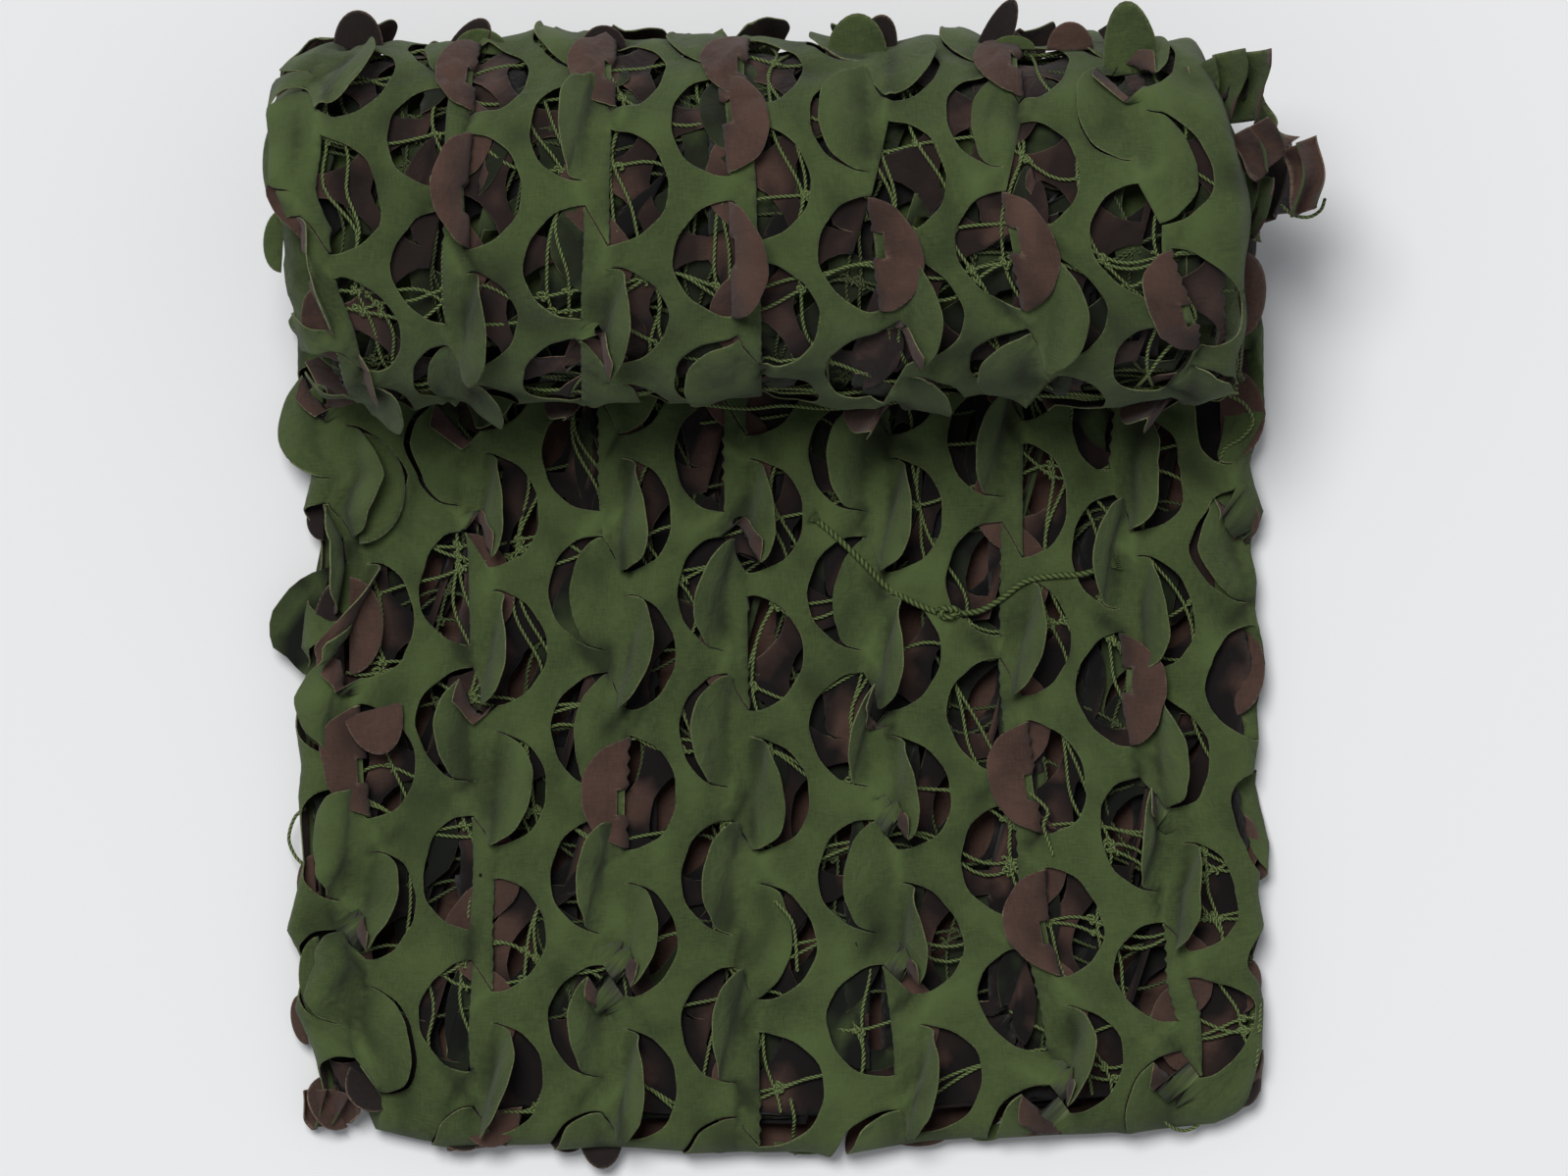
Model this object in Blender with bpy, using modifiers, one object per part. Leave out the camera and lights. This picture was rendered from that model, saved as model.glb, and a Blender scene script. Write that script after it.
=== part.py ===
"""A camouflage net, folded to half a metre wide and rolled up, with its free end lying flat.

The cloth is cut with S-shaped slits whose two half-round leaves lift out of it, and it is tied
to a net of cord. X runs across the roll, Y from the free end towards the roll and Z up; the
origin is on the floor in the middle of the footprint. All sizes are in metres.
"""

import math

import bmesh
import bpy
import numpy as np
from mathutils.geometry import delaunay_2d_cdt

# Cloth and cord
CLOTH = 0.0012
FOLD_LAYER = 0.0022
NET_CORD = 0.0026
TIE_CORD = 0.0036
TONGUE_NET_DEPTH = 0.0044
ROLL_NET_DEPTH = 0.0050
NET_HALF_WIDTH = 0.222
NET_WANDER = 0.005
FOLD_DEPTHS = (0.0105, 0.0147, 0.0189)

# The folded net in plan
LEFT_EDGE = -0.254
RIGHT_EDGE = 0.249
FRONT_EDGE = -0.288
BACK_OF_TONGUE_TOP = 0.165
SEAM_Y = 0.150
SEAM_GAP = 0.0004
TONGUE_HEIGHT = 0.0215

# The roll: a spiral that starts on the floor, climbs the back and winds inwards
ROLL_Y = 0.1885
ROLL_START_HALF_DEPTH = 0.1025
ROLL_START_HALF_HEIGHT = 0.0945
ROLL_PITCH = 0.0212
ROLL_TURNS = 3.75
FOLD_TURNS = 2.9
STEPS_A_TURN = 18

# The leaf cut: in each column, half-round leaves alternate left and right of a centre line
LEAF_RADIUS = 0.0295
COLUMN_PITCH = 0.0735
ROW_PITCH = 0.0715
RIGHT_LEAF_DROP = 0.031
ROW_SLOPE = -0.0025
SLIT_HALF_WIDTH = 0.0009
ARC_STEPS = 5
FIRST_COLUMN_X = -0.242
OVERRUN = 3 * SLIT_HALF_WIDTH
NECK_DROP = 0.0053
NECK_REACH = 0.008
FLIPPED_CLEARANCE = 0.0026

# A leaf is lifted by so many degrees about the centre line, or it hangs down out of sight. A
# leaf that is turned right over is also curled, which brings its edge nearer.
OPEN = "open"
FLIPPED = 112
CURLED_REACH = 0.6

# One pair for each row from the roll to the free end: left leaf, right leaf.
TONGUE_LEAVES = (
    ((None, 19), (None, 20), (None, 37), (None, 25), (None, 22), (None, 19)),
    ((None, 16), (12, 22), (OPEN, 43), (22, 16), (40, OPEN), (28, 34)),
    ((None, 19), (OPEN, 24), (OPEN, 25), (OPEN, FLIPPED), (OPEN, 20), (19, OPEN)),
    ((None, OPEN), (OPEN, 25), (22, 22), (17, 16), (20, 26), (31, 25)),
    ((None, 19), (17, 22), (OPEN, OPEN), (40, 28), (OPEN, 24), (31, 22)),
    ((None, 16), (37, 31), (OPEN, 3), (OPEN, FLIPPED), (OPEN, FLIPPED), (OPEN, 25)),
    ((None, 7), (OPEN, 19), (25, OPEN), (FLIPPED, OPEN), (31, 31), (OPEN, 12)),
)
TONGUE_FIRST_ROW = 0.0245

# The same for the roll, from low on its back, over the top and down its front.
ROLL_LEAVES = (
    ((None, 25), (None, OPEN), (None, 19), (None, OPEN), (None, 28)),
    ((19, OPEN), (28, 22), (OPEN, FLIPPED), (OPEN, 40), (28, 25)),
    ((OPEN, 22), (22, OPEN), (OPEN, FLIPPED), (OPEN, OPEN), (28, 34)),
    ((25, 19), (OPEN, 25), (25, OPEN), (FLIPPED, OPEN), (OPEN, 28)),
    ((19, OPEN), (25, 19), (37, 19), (19, OPEN), (FLIPPED, OPEN)),
    ((OPEN, 25), (19, OPEN), (OPEN, FLIPPED), (OPEN, OPEN), (FLIPPED, OPEN)),
    ((22, 19), (OPEN, 25), (25, 22), (12, 19), (OPEN, 18)),
)
ROLL_FIRST_ROW = 0.1415
FIRST_SLIT = ROLL_FIRST_ROW - LEAF_RADIUS + 6 * ROW_SLOPE

# Unevenness: the cloth is pressed flat near the floor and under the roll
SWELL = 0.002
TONGUE_PRESSED = 0.02
FRONT_SOFT = 0.005
ROLL_PRESSED = 0.12
SWELL_LENGTHS = (0.17, 0.11)
EDGE_DROOP = 0.004
DROOP_WIDTH = 0.018
EDGE_STEP = 0.024
EDGE_WANDER = 0.004
COLUMNS_ACROSS_ROLL = 5
COLUMNS_ACROSS_FRONT = 13
FRONT_STEP = 0.0112
FLOOR_STEP = 0.11

# The layers inside: place, wander, waves in each 2 pi metres and start of their left and right edges
TONGUE_FOLD_EDGES = ((-0.243, 0.006, 31, 0.0), (0.244, 0.005, 27, 1.0))
TONGUE_FOLDS_START = 0.006
TONGUE_FOLDS_SHORT = 0.014
TONGUE_FOLDS_STEP = 0.045
ROLL_FOLD_EDGES = ((-0.246, 0.006, 19, 0.0), (0.241, 0.004, 23, 0.0))
ROLL_FOLDS_START = 0.03
FOLD_ROUNDNESS = 0.25

# The nets: where each starts and ends along the cloth
TONGUE_NET_SPAN = (0.01, 0.425)
ROLL_NET_SPAN = (0.06, 0.50)

# A turn inside the roll that has slipped out of its right end, by distance along the cloth
SLIPPED_AT = 0.86
SLIPPED_LENGTH = 0.09
SLIPPED_OUT = 0.036

# The knotted tie on the free end: plan points, starting from its knot
TIE_KNOT = (0.0865, -0.0080)
TIE_LEFT = (
    (0.0808, -0.0076),
    (0.0750, -0.0056),
    (0.0670, -0.0020),
    (0.0540, 0.0060),
    (0.0425, 0.0180),
    (0.0310, 0.0290),
    (0.0190, 0.0395),
)
TIE_RIGHT = (
    (0.0922, -0.0084),
    (0.1030, -0.0070),
    (0.1140, -0.0010),
    (0.1265, 0.0080),
    (0.1410, 0.0110),
    (0.1560, 0.0120),
    (0.1700, 0.0165),
)
KNOT_SIZE = (0.0108, 0.0085, 0.0070)
TIE_CLEARANCE = 0.0005
TIE_STEP = 2.4 * TIE_CORD

GREEN = (0.055, 0.098, 0.030, 1.0)
BROWN = (0.095, 0.045, 0.030, 1.0)
CORD_GREEN = (0.150, 0.200, 0.050, 1.0)


def clear_scene():
    for obj in list(bpy.data.objects):
        bpy.data.objects.remove(obj)


def make_material(name, colour, roughness):
    material = bpy.data.materials.new(name)
    material.use_nodes = True
    shader = material.node_tree.nodes["Principled BSDF"]
    shader.inputs["Base Color"].default_value = colour
    shader.inputs["Roughness"].default_value = roughness
    return material


class Path:
    """A line in the side view. Its outward side is on the left of somebody walking towards +Y."""

    def __init__(self, points):
        self.yz = np.array(points)
        steps = np.linalg.norm(np.diff(self.yz, axis=0), axis=1)
        self.along = np.concatenate([[0.0], np.cumsum(steps)])
        self.tangent = np.gradient(self.yz, self.along, axis=0)
        self.length = float(self.along[-1])

    def at(self, s, depth):
        """(y, z) and the outward normal at distance s, so far below the outer face."""
        y, z = (float(np.interp(s, self.along, self.yz[:, k])) for k in (0, 1))
        ty, tz = (float(np.interp(s, self.along, self.tangent[:, k])) for k in (0, 1))
        size = math.hypot(ty, tz)
        normal = (tz / size, -ty / size)
        return (y - depth * normal[0], z - depth * normal[1]), normal


def tongue_path():
    """Forward along the top of the free end, round its front and back along the floor."""
    radius = TONGUE_HEIGHT / 2
    points = [(BACK_OF_TONGUE_TOP - 0.01 * i, TONGUE_HEIGHT) for i in range(44)]
    turn = [math.radians(90 + 10 * i) for i in range(19)]
    centre = FRONT_EDGE + radius
    points += [(centre + radius * math.cos(a), radius + radius * math.sin(a)) for a in turn]
    floor_length = SEAM_Y - SEAM_GAP - centre
    points += [(centre + floor_length * (i + 1) / 40, 0.0) for i in range(40)]
    return Path(points)


def roll_angle_point(turn):
    """A point of the roll's outer face, so many turns from where it leaves the floor."""
    angle = math.radians(360 * turn - 90)
    half_depth = ROLL_START_HALF_DEPTH - ROLL_PITCH * turn
    half_height = ROLL_START_HALF_HEIGHT - ROLL_PITCH * turn
    y = ROLL_Y + half_depth * math.cos(angle)
    return y, ROLL_START_HALF_HEIGHT + half_height * math.sin(angle)


def roll_path():
    """Back along the floor from the seam, then round and round inwards."""
    straight = [(SEAM_Y + (ROLL_Y - SEAM_Y) * i / 8, 0.0) for i in range(8)]
    steps = round(ROLL_TURNS * 72)
    return Path(straight + [roll_angle_point(i / 72) for i in range(steps + 1)])


def station_lengths(path):
    """Distances along the roll's path, one for each even step of turning."""
    steps = int(ROLL_TURNS * STEPS_A_TURN)
    lengths = []
    for i in range(steps + 1):
        target = np.array(roll_angle_point(i / STEPS_A_TURN))
        lengths.append(float(path.along[np.linalg.norm(path.yz - target, axis=1).argmin()]))
    return lengths


def swell(u, v):
    """The cloth's gentle bulges, from 0 to SWELL."""
    across = math.sin(2 * math.pi * u / SWELL_LENGTHS[0] + 9 * v)
    along = math.sin(2 * math.pi * v / SWELL_LENGTHS[1] + 14 * u)
    return SWELL * (0.5 + 0.25 * across + 0.25 * along)


def fade(v, start, end, width=0.03):
    """1 between start and end, falling to 0 over the width at each of them."""
    rise = min(max((v - start) / width, 0.0), 1.0)
    fall = min(max((end - v) / width, 0.0), 1.0)
    return rise * fall


def droop(u):
    """How far the cloth's side edges sink towards what they cover."""
    past = max(LEFT_EDGE + DROOP_WIDTH - u, u - (RIGHT_EDGE - DROOP_WIDTH), 0.0)
    return EDGE_DROOP * min(past / DROOP_WIDTH, 1.2) ** 2


class Sheet:
    """A cut sheet of cloth on a path: its rows of leaves and the stretch of path that they fill."""

    def __init__(self, path, leaves, first_row, soft_start, soft_end):
        self.path = path
        self.leaves = leaves
        self.first_row = first_row
        self.soft_start = soft_start
        self.soft_end = soft_end

    def column_x(self, column):
        return FIRST_COLUMN_X + COLUMN_PITCH * column

    def leaf_centre(self, column, row, side):
        """Distance along the cloth of a leaf's centre; side is 0 for the left and 1 for the right."""
        return self.first_row + ROW_PITCH * row + ROW_SLOPE * column + RIGHT_LEAF_DROP * side

    def state(self, column, row, side):
        """A leaf's lift in degrees, OPEN, or None where nothing is cut."""
        rows = self.leaves[column]
        return rows[row][side] if 0 <= row < len(rows) else None

    def lift_at(self, u, v):
        """(centre line, degrees, distance along to its neck) of this point's leaf, or None."""
        column = round((u - FIRST_COLUMN_X) / COLUMN_PITCH)
        if not 0 <= column < len(self.leaves):
            return None
        offset = u - self.column_x(column)
        if abs(offset) < SLIT_HALF_WIDTH / 2:
            return None
        side = int(offset > 0)
        for row in range(len(self.leaves[column])):
            along = v - self.leaf_centre(column, row, side)
            lift = self.state(column, row, side)
            if math.hypot(offset, along) < LEAF_RADIUS and lift not in (None, OPEN):
                return self.column_x(column), lift, abs(along + NECK_DROP * (1 - 2 * side))
        return None

    def place(self, u, v):
        """The point of the sheet's middle surface that the flat point (u, v) comes to."""
        softness = fade(v, self.soft_start, self.soft_end)
        depth = CLOTH / 2 - swell(u, v) * softness + droop(u) * min(1.0, 2 * softness)
        (y, z), normal = self.path.at(v, depth)
        leaf = self.lift_at(u, v)
        if leaf is None or abs(u - leaf[0]) < 2 * SLIT_HALF_WIDTH and leaf[2] < NECK_REACH:
            return u, y, z
        centre, degrees, from_neck = leaf
        offset, angle = u - centre, math.radians(degrees)
        rise = abs(offset) * math.sin(angle)
        if degrees == FLIPPED:
            away = math.hypot(offset, from_neck)
            offset, rise = CURLED_REACH * offset, CURLED_REACH * rise
            rise += FLIPPED_CLEARANCE * min(max(away / NECK_REACH - 1, 0.0), 1.0)
        return centre + offset * math.cos(angle), y + rise * normal[0], z + rise * normal[1]


def arc(column_x, centre, side, radius):
    """Points inside a half circle, from its top down, to the left or right of the centre line."""
    way = 1 if side else -1
    turns = [math.radians(180 * i / ARC_STEPS - 90) for i in range(1, ARC_STEPS)]
    return [(column_x + way * radius * math.cos(a), centre + radius * math.sin(a)) for a in turns]


def slit_outline(sheet, column, row):
    """The slit round a right leaf and the left leaf below it, and its hinge points by name."""
    x, h = sheet.column_x(column), SLIT_HALF_WIDTH
    right, left = sheet.state(column, row, 1), sheet.state(column, row + 1, 0)
    partner_left, partner_right = sheet.state(column, row, 0), sheet.state(column, row + 1, 1)
    vr, vl = sheet.leaf_centre(column, row, 1), sheet.leaf_centre(column, row + 1, 0)
    outline, hinge = [], {}
    if right is not None:
        if partner_left == OPEN:
            outline.append((x - OVERRUN, vr - LEAF_RADIUS - h))
        else:
            hinge["top"] = len(outline)
            outline.append((x, vr - LEAF_RADIUS))
        outline += arc(x, vr, 1, LEAF_RADIUS + h)
        hinge["low"] = len(outline)
        outline.append((x - h if left is not None else x, vr + LEAF_RADIUS + h))
    if left is not None:
        if left != OPEN or right is None:
            outline.append((x - h, vl - LEAF_RADIUS + h))
        if left != OPEN:
            outline += arc(x, vl, 0, LEAF_RADIUS - h)
        if left != OPEN and partner_right == OPEN:
            outline.append((x + OVERRUN, vl + LEAF_RADIUS - h))
        if partner_right == OPEN:
            outline.append((x + OVERRUN, vl + LEAF_RADIUS + h))
        else:
            hinge["bottom"] = len(outline)
            outline.append((x, vl + LEAF_RADIUS))
        outline += reversed(arc(x, vl, 0, LEAF_RADIUS + h))
        if right is not None:
            hinge["high"] = len(outline)
            outline.append((x + h, vl - LEAF_RADIUS - h))
    if right not in (None, OPEN):
        if left is not None:
            outline.append((x + h, vr + LEAF_RADIUS - h))
        outline += reversed(arc(x, vr, 1, LEAF_RADIUS - h))
        if partner_left == OPEN:
            outline.append((x - OVERRUN, vr - LEAF_RADIUS + h))
    return outline, hinge


def sheet_edge(rows):
    """The sheet's own outline: straight ends and slightly wandering sides."""
    left = [(LEFT_EDGE + EDGE_WANDER * math.sin(91 * v) * math.sin(37 * v), v) for v in rows]
    right = [(RIGHT_EDGE + EDGE_WANDER * math.sin(71 * v + 1) * math.sin(29 * v), v) for v in rows]
    return left + right[::-1]


def add_loop(points, coords):
    """Adds points to the coordinates and returns their indices as one closed loop."""
    start = len(coords)
    coords.extend(points)
    return list(range(start, len(coords)))


def anticlockwise(loop, coords):
    """The same loop, turned round if it runs clockwise."""
    pairs = zip(loop, loop[1:] + loop[:1])
    area = sum(coords[a][0] * coords[b][1] - coords[b][0] * coords[a][1] for a, b in pairs)
    return loop if area > 0 else loop[::-1]


def hinge_edges(sheet, hinges):
    """Edges on the centre lines, where a leaf joins its partner or the neck that holds it."""
    edges = []
    for (column, row), above in hinges.items():
        below = hinges.get((column, row + 1), {})
        left, right = sheet.state(column, row + 1, 0), sheet.state(column, row + 1, 1)
        if left not in (None, OPEN) and "low" in above and "top" in below:
            edges.append((above["low"], below["top"]))
        if right not in (None, OPEN) and "bottom" in above and "high" in below:
            edges.append((above["bottom"], below["high"]))
        if OPEN not in (left, right) and "bottom" in above and "top" in below:
            edges.append((above["bottom"], below["top"]))
    return edges


def row_edges(edge_rows, plain_rows, coords):
    """Straight lines from side to side of the uncut cloth, each as a run of short edges."""
    edges = []
    last = 2 * len(edge_rows) - 1
    for v, count in plain_rows:
        left = edge_rows.index(v)
        inner = [(LEFT_EDGE + (RIGHT_EDGE - LEFT_EDGE) * (i + 1) / count, v) for i in range(count - 1)]
        run = [left, *add_loop(inner, coords), last - left]
        edges += zip(run, run[1:])
    return edges


def flat_pattern(sheet, plain_rows, edge_rows):
    """Triangles of the flat sheet with its slits cut out."""
    coords, faces, hinges = [], [], {}
    faces.append(add_loop(sheet_edge(edge_rows), coords))
    for column in range(len(sheet.leaves)):
        for row in range(-1, len(sheet.leaves[column])):
            outline, hinge = slit_outline(sheet, column, row)
            if len(outline) < 3:
                continue
            loop = add_loop(outline, coords)
            faces.append(loop)
            hinges[column, row] = {name: loop[i] for name, i in hinge.items()}
    edges = hinge_edges(sheet, hinges) + row_edges(edge_rows, plain_rows, coords)
    faces = [anticlockwise(loop, coords) for loop in faces]
    done = delaunay_2d_cdt([tuple(c) for c in coords], edges, faces, 1, 1e-7, True)
    points, triangles, sources = done[0], done[2], done[5]
    kept = [t for t, source in zip(triangles, sources) if list(source) == [0]]
    return points, kept


def add_object(name, mesh, material, collection):
    obj = bpy.data.objects.new(name, mesh)
    collection.objects.link(obj)
    mesh.materials.append(material)
    return obj


def add_wall(obj, thickness):
    wall = obj.modifiers.new("Wall", "SOLIDIFY")
    wall.thickness = thickness
    wall.offset = 0.0
    return wall


def build_sheet(name, sheet, plain_rows, edge_rows, material, collection):
    points, triangles = flat_pattern(sheet, plain_rows, edge_rows)
    bm = bmesh.new()
    used = sorted({i for t in triangles for i in t})
    verts = {i: bm.verts.new(sheet.place(*points[i])) for i in used}
    for triangle in triangles:
        bm.faces.new([verts[i] for i in reversed(triangle)])
    mesh = bpy.data.meshes.new(name)
    bm.to_mesh(mesh)
    bm.free()
    obj = add_object(name, mesh, material, collection)
    add_wall(obj, CLOTH)
    return obj


def fold_line():
    """(side, share, depth) across the inner layers: out, back and out again, with round folds."""
    bend = (FOLD_DEPTHS[1] - FOLD_DEPTHS[0]) / 2
    line = []
    for layer, depth in enumerate(FOLD_DEPTHS):
        way = 1 if layer % 2 == 0 else -1
        line += [(-way, bend, depth), (way, bend, depth)]
        if layer < len(FOLD_DEPTHS) - 1:
            inset = bend * FOLD_ROUNDNESS
            line += [(way, inset, depth + bend * 0.5), (way, inset, depth + bend * 1.5)]
    return line


def wavy(edge, s):
    """Where a wandering edge is, at distance s along it."""
    place, wander, waves, start = edge
    return place + wander * math.sin(waves * s + start)


def slipped_out(s):
    """How far the layers stick out of the roll's right end."""
    return SLIPPED_OUT * math.exp(-(((s - SLIPPED_AT) / SLIPPED_LENGTH) ** 2))


def build_folds(name, path, stations, edges, material, collection):
    """The layers inside, folded back and forth across the width and carried along the path."""
    line = fold_line()
    left_edge, right_edge = edges
    bm = bmesh.new()
    bmesh.ops.create_grid(bm, x_segments=len(line) - 1, y_segments=len(stations) - 1, size=1)
    bm.verts.ensure_lookup_table()
    for i, vert in enumerate(bm.verts):
        side, inset, depth = line[i % len(line)]
        s = stations[i // len(line)]
        if side > 0:
            edge = wavy(right_edge, s) + slipped_out(s) - inset
        else:
            edge = wavy(left_edge, s) + inset
        (y, z), _ = path.at(s, depth)
        vert.co = (edge, y, z)
    bmesh.ops.recalc_face_normals(bm, faces=bm.faces)
    mesh = bpy.data.meshes.new(name)
    bm.to_mesh(mesh)
    bm.free()
    obj = add_object(name, mesh, material, collection)
    add_wall(obj, FOLD_LAYER)
    return obj


def build_net(name, sheet, depth, span, cells, splits, material, collection):
    """The net of cord under the cloth: a wavy mesh of strands, round which its cells are open."""
    start, end = span
    cells_across, cells_along = cells
    rows = cells_along * splits
    bm = bmesh.new()
    bmesh.ops.create_grid(bm, x_segments=cells_across, y_segments=rows, size=1)
    crossing = [
        edge
        for edge in bm.edges
        if abs(edge.verts[0].co.y - edge.verts[1].co.y) < 1e-6
        and round((edge.verts[0].co.y + 1) / 2 * rows) % splits
    ]
    bmesh.ops.dissolve_edges(bm, edges=crossing, use_verts=False)
    for vert in bm.verts:
        a, b = vert.co.x, (vert.co.y + 1) / 2
        u = NET_HALF_WIDTH * a + NET_WANDER * math.sin(17 * b + 5 * a)
        v = start + (end - start) * b + NET_WANDER * math.sin(11 * a + 7 * b)
        raised = swell(u, v) * fade(v, sheet.soft_start, sheet.soft_end)
        (y, z), _ = sheet.path.at(v, depth - raised)
        vert.co = (u, y, z)
    mesh = bpy.data.meshes.new(name)
    bm.to_mesh(mesh)
    bm.free()
    obj = add_object(name, mesh, material, collection)
    strands = obj.modifiers.new("Strands", "WIREFRAME")
    strands.thickness = NET_CORD
    strands.offset = 0.0
    strands.use_even_offset = False
    strands.use_boundary = True
    return obj


def smooth_route(points, step):
    """Evenly spaced points on a smooth curve through the route's own points."""
    knots = [2 * np.array(points[0]) - points[1], *np.array(points), 2 * np.array(points[-1]) - points[-2]]
    fine = []
    for i in range(1, len(knots) - 2):
        p0, p1, p2, p3 = knots[i - 1 : i + 3]
        for t in np.linspace(0, 1, 12, endpoint=i == len(knots) - 3):
            fine.append(
                0.5
                * (
                    2 * p1
                    + (p2 - p0) * t
                    + (2 * p0 - 5 * p1 + 4 * p2 - p3) * t**2
                    + (3 * p1 - p0 - 3 * p2 + p3) * t**3
                )
            )
    fine = np.array(fine)
    along = np.concatenate([[0], np.cumsum(np.linalg.norm(np.diff(fine, axis=0), axis=1))])
    places = np.linspace(0, along[-1], max(3, round(along[-1] / step)))
    return [[float(np.interp(s, along, fine[:, k])) for k in range(3)] for s in places]


def over_cloth(sheet, x, y, height):
    """The point so high over the free end's cloth at a place in plan."""
    v = BACK_OF_TONGUE_TOP - y
    lift = swell(x, v) * fade(v, sheet.soft_start, sheet.soft_end)
    return x, y, TONGUE_HEIGHT + lift + height + TIE_CLEARANCE


def build_tie_end(name, sheet, route, material, collection):
    """One free end of the tie, as a round cord over the cloth."""
    raised = [over_cloth(sheet, x, y, TIE_CORD / 2) for x, y in route]
    points = smooth_route(raised, TIE_STEP)
    curve = bpy.data.curves.new(name, "CURVE")
    curve.dimensions = "3D"
    curve.bevel_depth = TIE_CORD / 2
    curve.bevel_resolution = 2
    curve.use_fill_caps = True
    spline = curve.splines.new("POLY")
    spline.points.add(len(points) - 1)
    for target, point in zip(spline.points, points):
        target.co = (*point, 1.0)
    obj = bpy.data.objects.new(name, curve)
    collection.objects.link(obj)
    curve.materials.append(material)
    return obj


def build_knot(sheet, material, collection):
    """The tie's knot, a small flattened lump between its two ends."""
    bm = bmesh.new()
    bmesh.ops.create_uvsphere(bm, u_segments=10, v_segments=6, radius=0.5)
    bmesh.ops.scale(bm, vec=KNOT_SIZE, verts=bm.verts)
    mesh = bpy.data.meshes.new("tie_knot")
    bm.to_mesh(mesh)
    bm.free()
    obj = add_object("tie_knot", mesh, material, collection)
    obj.location = over_cloth(sheet, *TIE_KNOT, KNOT_SIZE[2] / 2)
    return obj


def evenly(start, end, step):
    count = max(1, round((end - start) / step))
    return [start + (end - start) * i / count for i in range(count + 1)]


def main():
    clear_scene()
    collection = bpy.data.collections.new("camouflage_net")
    bpy.context.scene.collection.children.link(collection)
    green = make_material("green_cloth", GREEN, 0.85)
    brown = make_material("brown_cloth", BROWN, 0.85)
    cord = make_material("olive_cord", CORD_GREEN, 0.8)

    path = tongue_path()
    top_length = BACK_OF_TONGUE_TOP - FRONT_EDGE - TONGUE_HEIGHT / 2
    tongue = Sheet(path, TONGUE_LEAVES, TONGUE_FIRST_ROW, TONGUE_PRESSED, top_length + FRONT_SOFT)
    turn_end = top_length + math.pi * TONGUE_HEIGHT / 2
    turn_rows = evenly(top_length, turn_end, FRONT_STEP)
    floor_rows = evenly(turn_end, path.length, FLOOR_STEP)
    edge_rows = evenly(0.0, top_length, EDGE_STEP) + turn_rows[1:] + floor_rows[1:]
    plain_rows = [(v, COLUMNS_ACROSS_FRONT) for v in turn_rows]
    plain_rows += [(v, COLUMNS_ACROSS_ROLL) for v in floor_rows[1:-1]]
    build_sheet("tongue_cloth", tongue, plain_rows, edge_rows, green, collection)
    build_net("tongue_net", tongue, TONGUE_NET_DEPTH, TONGUE_NET_SPAN, (5, 4), 1, cord, collection)

    spiral = roll_path()
    cut_end = ROLL_FIRST_ROW + ROW_PITCH * (len(ROLL_LEAVES[0]) - 1) + RIGHT_LEAF_DROP + LEAF_RADIUS
    roll = Sheet(spiral, ROLL_LEAVES, ROLL_FIRST_ROW, ROLL_PRESSED, cut_end)
    stations = station_lengths(spiral)
    inner = [s for s in stations if s > cut_end]
    lower = [s for s in stations if s < FIRST_SLIT]
    edge_rows = [0.0, *lower, *evenly(FIRST_SLIT, cut_end, EDGE_STEP)[:-1], *inner]
    plain_rows = [(v, COLUMNS_ACROSS_ROLL) for v in lower + inner[:-1]]
    build_sheet("roll_cloth", roll, plain_rows, edge_rows, green, collection)
    build_net("roll_net", roll, ROLL_NET_DEPTH, ROLL_NET_SPAN, (5, 5), 3, cord, collection)

    rows = evenly(TONGUE_FOLDS_START, top_length - TONGUE_FOLDS_SHORT, TONGUE_FOLDS_STEP)
    build_folds("tongue_folds", path, rows, TONGUE_FOLD_EDGES, brown, collection)
    rows = [ROLL_FOLDS_START, *stations[: 1 + round(FOLD_TURNS * STEPS_A_TURN)]]
    build_folds("roll_folds", spiral, rows, ROLL_FOLD_EDGES, brown, collection)

    build_tie_end("tie_left", tongue, TIE_LEFT, cord, collection)
    build_tie_end("tie_right", tongue, TIE_RIGHT, cord, collection)
    build_knot(tongue, cord, collection)


main()
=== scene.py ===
"""The looks of the camouflage net: its leaf-cut cloth, nets of cord, tie and studio."""

import math
import random

import bmesh
import bpy
import numpy as np
from bpy.props import FloatProperty, FloatVectorProperty, IntProperty, PointerProperty
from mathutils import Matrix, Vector, kdtree, noise
from mathutils.geometry import delaunay_2d_cdt


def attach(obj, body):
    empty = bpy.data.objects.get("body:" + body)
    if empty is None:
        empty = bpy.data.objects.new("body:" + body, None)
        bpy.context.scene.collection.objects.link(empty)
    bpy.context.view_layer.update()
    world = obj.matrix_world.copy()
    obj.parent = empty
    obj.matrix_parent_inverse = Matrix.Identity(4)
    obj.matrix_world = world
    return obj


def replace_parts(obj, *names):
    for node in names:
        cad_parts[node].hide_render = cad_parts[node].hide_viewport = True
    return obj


bl_info = {
    "name": "Camouflage Net",
    "version": (1, 0, 0),
    "blender": (4, 5, 0),
    "location": "View3D > Sidebar > Camouflage Net",
    "description": "Builds a folded and rolled camouflage net around its fixed frame",
    "category": "Add Mesh",
}

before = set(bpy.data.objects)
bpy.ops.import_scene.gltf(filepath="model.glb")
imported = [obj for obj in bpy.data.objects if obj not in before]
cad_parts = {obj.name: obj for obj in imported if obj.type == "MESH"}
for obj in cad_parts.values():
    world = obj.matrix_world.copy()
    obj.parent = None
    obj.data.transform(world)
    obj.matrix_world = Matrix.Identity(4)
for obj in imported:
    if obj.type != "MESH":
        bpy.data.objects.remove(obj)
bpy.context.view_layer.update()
BODY = "root"

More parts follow.
